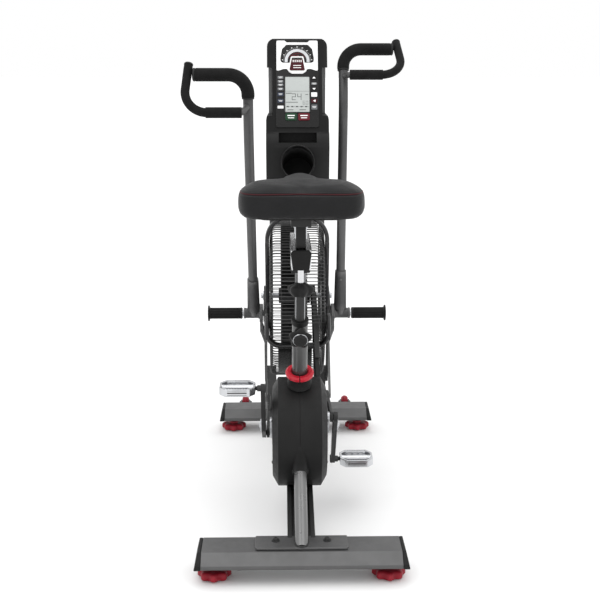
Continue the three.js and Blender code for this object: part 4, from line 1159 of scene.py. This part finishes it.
def console_face():
    """The instrument plate: a white head with a half-round dial and a badge, and a black field with keys."""
    base = Shape().on_face(rectangle(-65, 65, 12, 294, 7, 6), 0.35, 2.6)
    base.finish("face_field", "gloss", "frame", 0.6, 2, ("console_face",))

    white = [(-63, 290), (-38, 290), (-32, 284), (32, 284), (38, 290), (63, 290), (63, 193), (56, 193),
             (42, 198), (31, 198), (25, 188), (16, 183), (-16, 183), (-25, 188), (-31, 198), (-42, 198),
             (-56, 193), (-63, 193)]
    radii = [5, 3, 3, 3, 3, 5, 3, 4, 6, 4, 6, 8, 8, 6, 4, 6, 4, 3]
    Shape().on_face(rounded(white, radii, 4), 2.5, 3.9).finish("face_head", "white", "frame", 0.5, 2)

    dial = [(-50, 222), (-51, 232), (-46, 262), (-33, 276), (33, 276), (46, 262), (51, 232), (50, 222),
            (44, 218), (-44, 218)]
    Shape().on_face(rounded(dial, 3, 3), 3.8, 4.5).finish("dial_plate", "gloss", "frame", 0.3, 2)
    ring, ticks, scale = Shape(), Shape(), Shape()
    for r0, r1, a0, a1, shape in ((29, 38, -8, 188, ring), (24.5, 26.5, 20, 160, scale)):
        arc = [math.radians(a0 + (a1 - a0) * k / 30) for k in range(31)]
        outline = [(r1 * math.cos(a), 224 + r1 * math.sin(a)) for a in arc]
        outline += [(r0 * math.cos(a), 224 + r0 * math.sin(a)) for a in reversed(arc)]
        shape.on_face(outline, 4.4, 4.9)
    for k in range(9):
        a = math.radians(4 + 21.5 * k)
        x, y = 44.5 * math.cos(a), 224 + 44.5 * math.sin(a)
        strip(ticks, x - 1.7, x + 1.7, y - 1.0, y + 1.0, 4.4, 4.8, 0.5)
    for k in range(37):
        a = math.radians(-2 + 5.1 * k)
        c, d = math.cos(a), math.sin(a)
        mark = [(40 * c - 0.25 * d, 40 * d + 0.25 * c), (40 * c + 0.25 * d, 40 * d - 0.25 * c),
                (42 * c + 0.25 * d, 42 * d - 0.25 * c), (42 * c - 0.25 * d, 42 * d + 0.25 * c)]
        ticks.on_face([(x, 224 + y) for x, y in mark], 4.4, 4.8)
    ring.finish("dial_arc", "steel", "frame", 0.2, 1)
    strip(scale, -20, 6, 238, 243, 4.4, 4.8, 1.5)
    strip(scale, -14, 14, 246, 248.5, 4.4, 4.8, 1)
    scale.finish("dial_scale", "piping", "frame")
    angles = (math.radians(15 + 15 * k) for k in range(11))
    fan_mark = [(2 + 11 * math.cos(a), 230 + 9 * math.sin(a)) for a in angles]
    ticks.on_face(fan_mark + [(-8, 228), (14, 228)], 4.4, 4.8)
    ticks.finish("dial_marks", "white", "frame")
    rim = rounded([(-28, 188), (28, 188), (19, 238), (-19, 238)], [7, 7, 5, 5], 5)
    Shape().on_face(rim, 3.8, 5.6).finish("badge_rim", "white", "frame", 0.5, 2)
    badge = rounded([(-24, 192), (24, 192), (16, 233), (-16, 233)], [5, 5, 4, 4], 5)
    Shape().on_face(badge, 5.4, 6.3).finish("badge_plate", "piping", "frame", 0.3, 2)
    marks = Shape()
    for x in (-12, -6, 0, 6, 12):
        strip(marks, x - 1.3, x + 1.3, 219, 226, 6.2, 6.5, 1)
    strip(marks, -12, 12, 200, 202, 6.2, 6.5, 0.8)
    strip(marks, -12, 12, 207, 209, 6.2, 6.5, 0.8)
    marks.finish("badge_marks", "white", "frame")
    top = rounded([(-17, 228), (17, 228), (15.4, 233.4), (-15.4, 233.4)], 1.4, 3)
    Shape().on_face(top, 6.1, 6.6).finish("badge_cap", "gloss", "frame")


def display():
    strip(Shape(), -36.6, 36.6, 60.6, 172.4, 2.2, 4.0, 2.5).finish(
        "lcd_window", "lcd", "frame", 0.4, 2, ("display_lens",)
    )
    frame_bars = Shape()
    for box in ((-39.5, 39.5, 172.6, 175.4), (-39.5, 39.5, 57.6, 60.4), (-39.5, -36.8, 57.6, 175.4),
                (36.8, 39.5, 57.6, 175.4)):
        strip(frame_bars, *box, 2.4, 4.6, 0.9)
    frame_bars.finish("lcd_bezel", "gloss", "frame", 0.4, 2)
    ink = Shape()
    strip(ink, -36, 36, 126, 126.7, 3.95, 4.15, 0.2)
    strip(ink, -35, -17, 119, 121, 3.95, 4.15, 0.4)
    strip(ink, 24, 33, 115, 116.6, 3.95, 4.15, 0.4)
    digits(ink, "24", -17, 98, 12.5, 21, 3.95)
    for k in range(12):
        strip(ink, -35 + 3.1 * k, -33.2 + 3.1 * k, 89.5, 92.5, 3.95, 4.15, 0.3)
    digits(ink, "60", 16, 84, 7, 11.5, 3.95)
    for k in range(5):
        strip(ink, -33 + 14 * k, -26 + 14 * k, 75.5, 79, 3.95, 4.15, 0.6)
        strip(ink, -24.5 + 14 * k, -22 + 14 * k, 76.5, 78, 3.95, 4.15, 0.4)
    strip(ink, -30, -12, 66, 68, 3.95, 4.15, 0.5)
    strip(ink, 6, 26, 66, 68, 3.95, 4.15, 0.5)
    ink.finish("lcd_figures", "ink", "frame")


def keys():
    left = [(171, 9, "key_grey"), (158, 8, "key_grey"), (147, 8, "key_grey"), (134, 9, "key_grey"),
            (117, 12, "key_blue"), (96, 12, "key_blue"), (76, 9, "white")]
    right = [(170, 11, "plastic"), (151, 7, "key_grey"), (134, 11, "plastic"), (116, 14, "white"),
             (96, 12, "piping"), (76, 16, "key_grey")]
    groups = {}
    prints = Shape()
    for x0, rows in ((-60, left), (42, right)):
        for along, tall, look in rows:
            pad = groups.setdefault(look, Shape())
            strip(pad, x0, x0 + 18, along - tall / 2, along + tall / 2, 2.5, 3.7, 2)
            if look in ("key_grey", "key_blue"):
                strip(prints, x0 + 3, x0 + 15, along + 0.6, along + 1.8, 3.6, 3.85, 0.4)
                strip(prints, x0 + 4.5, x0 + 13.5, along - 2.2, along - 1.2, 3.6, 3.85, 0.4)
    for along, up in ((170, 1), (134, -1)):
        prints.on_face([(46, along - 2.6 * up), (56, along - 2.6 * up), (51, along + 3.4 * up)], 3.6, 3.9)
    prints.on_face([(47, 96), (55, 92), (55, 100)], 3.6, 3.9)
    for look, pad in groups.items():
        pad.finish("side_keys_" + look, look, "frame", 0.4, 2)
    prints.finish("key_prints", "white", "frame")
    caps = {"start": (-1, "green"), "stop": (1, "key_red")}
    for name, (s, look) in caps.items():
        x0, x1 = sorted((s * 2.2, s * 36.8))
        outline = rounded([(x0, 33.7), (x1, 33.7), (x1, 56.3), (x0, 56.3)], 5, 5)
        body = name + "_key_body"
        Shape().on_face(outline, 2.1, 5.4).finish(name + "_key_cap", look, body, 0.7, 3, (name + "_key",))
        mark = Shape()
        strip(mark, x0 + 6, x1 - 6, 47, 50, 5.3, 5.6, 0.9)
        strip(mark, x0 + 8, x1 - 8, 40, 42.4, 5.3, 5.6, 0.8)
        mark.finish(name + "_key_mark", "white", body)


stabilisers()
levelers()
wheels()
rear_tube()
spine()
hoop()
front_legs()
shrouds()
collar()
belt_parts()
fan()
guards()
crank_parts()
arms()
seat_post()
seat()
console_housing()
console_face()
display()
keys()


# ---------------------------------------------------------------- floor, light and camera
def studio():
    floor_mesh = bpy.data.meshes.new("floor")
    bm = bmesh.new()
    bmesh.ops.create_grid(bm, x_segments=2, y_segments=2, size=400)
    bm.to_mesh(floor_mesh)
    bm.free()
    floor = bpy.data.objects.new("floor", floor_mesh)
    floor.location.z = -0.0005
    bpy.context.scene.collection.objects.link(floor)
    cover = Look("floor_paper", 0.9)
    cover.colour(cover.ramp(cover.noise(3, 2), (0.3, 0.83), (0.7, 0.85)))
    floor_mesh.materials.append(cover.material)

    world = bpy.data.worlds.new("studio")
    bpy.context.scene.world = world
    world.use_nodes = True
    sky = world.node_tree.nodes["Background"]
    sky.inputs["Color"].default_value = (1, 1, 1, 1)
    sky.inputs["Strength"].default_value = 1.0

    lights = [
        ("key", (-1.6, -2.2, 3.4), (0, 0, 0.5), 3.0, 20),
        ("fill", (2.6, -1.6, 2.4), (0, 0, 0.6), 2.6, 12),
    ]
    for name, place, target, size, power in lights:
        lamp = bpy.data.lights.new(name, "AREA")
        lamp.size, lamp.energy = size, power
        holder = bpy.data.objects.new(name, lamp)
        holder.location = place
        holder.rotation_euler = (V(target) - V(place)).to_track_quat("-Z", "Y").to_euler()
        bpy.context.scene.collection.objects.link(holder)

    overhead = bpy.data.lights.new("overhead", "SUN")
    overhead.energy, overhead.angle = 1.3, math.radians(70)
    holder = bpy.data.objects.new("overhead", overhead)
    bpy.context.scene.collection.objects.link(holder)

    camera = bpy.data.cameras.new("camera")
    camera.sensor_width, camera.lens = 36, 60
    camera.dof.use_dof = False
    holder = bpy.data.objects.new("camera", camera)
    holder.location = (-0.0492, -3.0295, 1.292)
    holder.rotation_euler = (math.radians(77.3), 0, math.radians(-1.06))
    bpy.context.scene.collection.objects.link(holder)
    bpy.context.scene.camera = holder
    bpy.context.scene.view_settings.view_transform = "Standard"


studio()
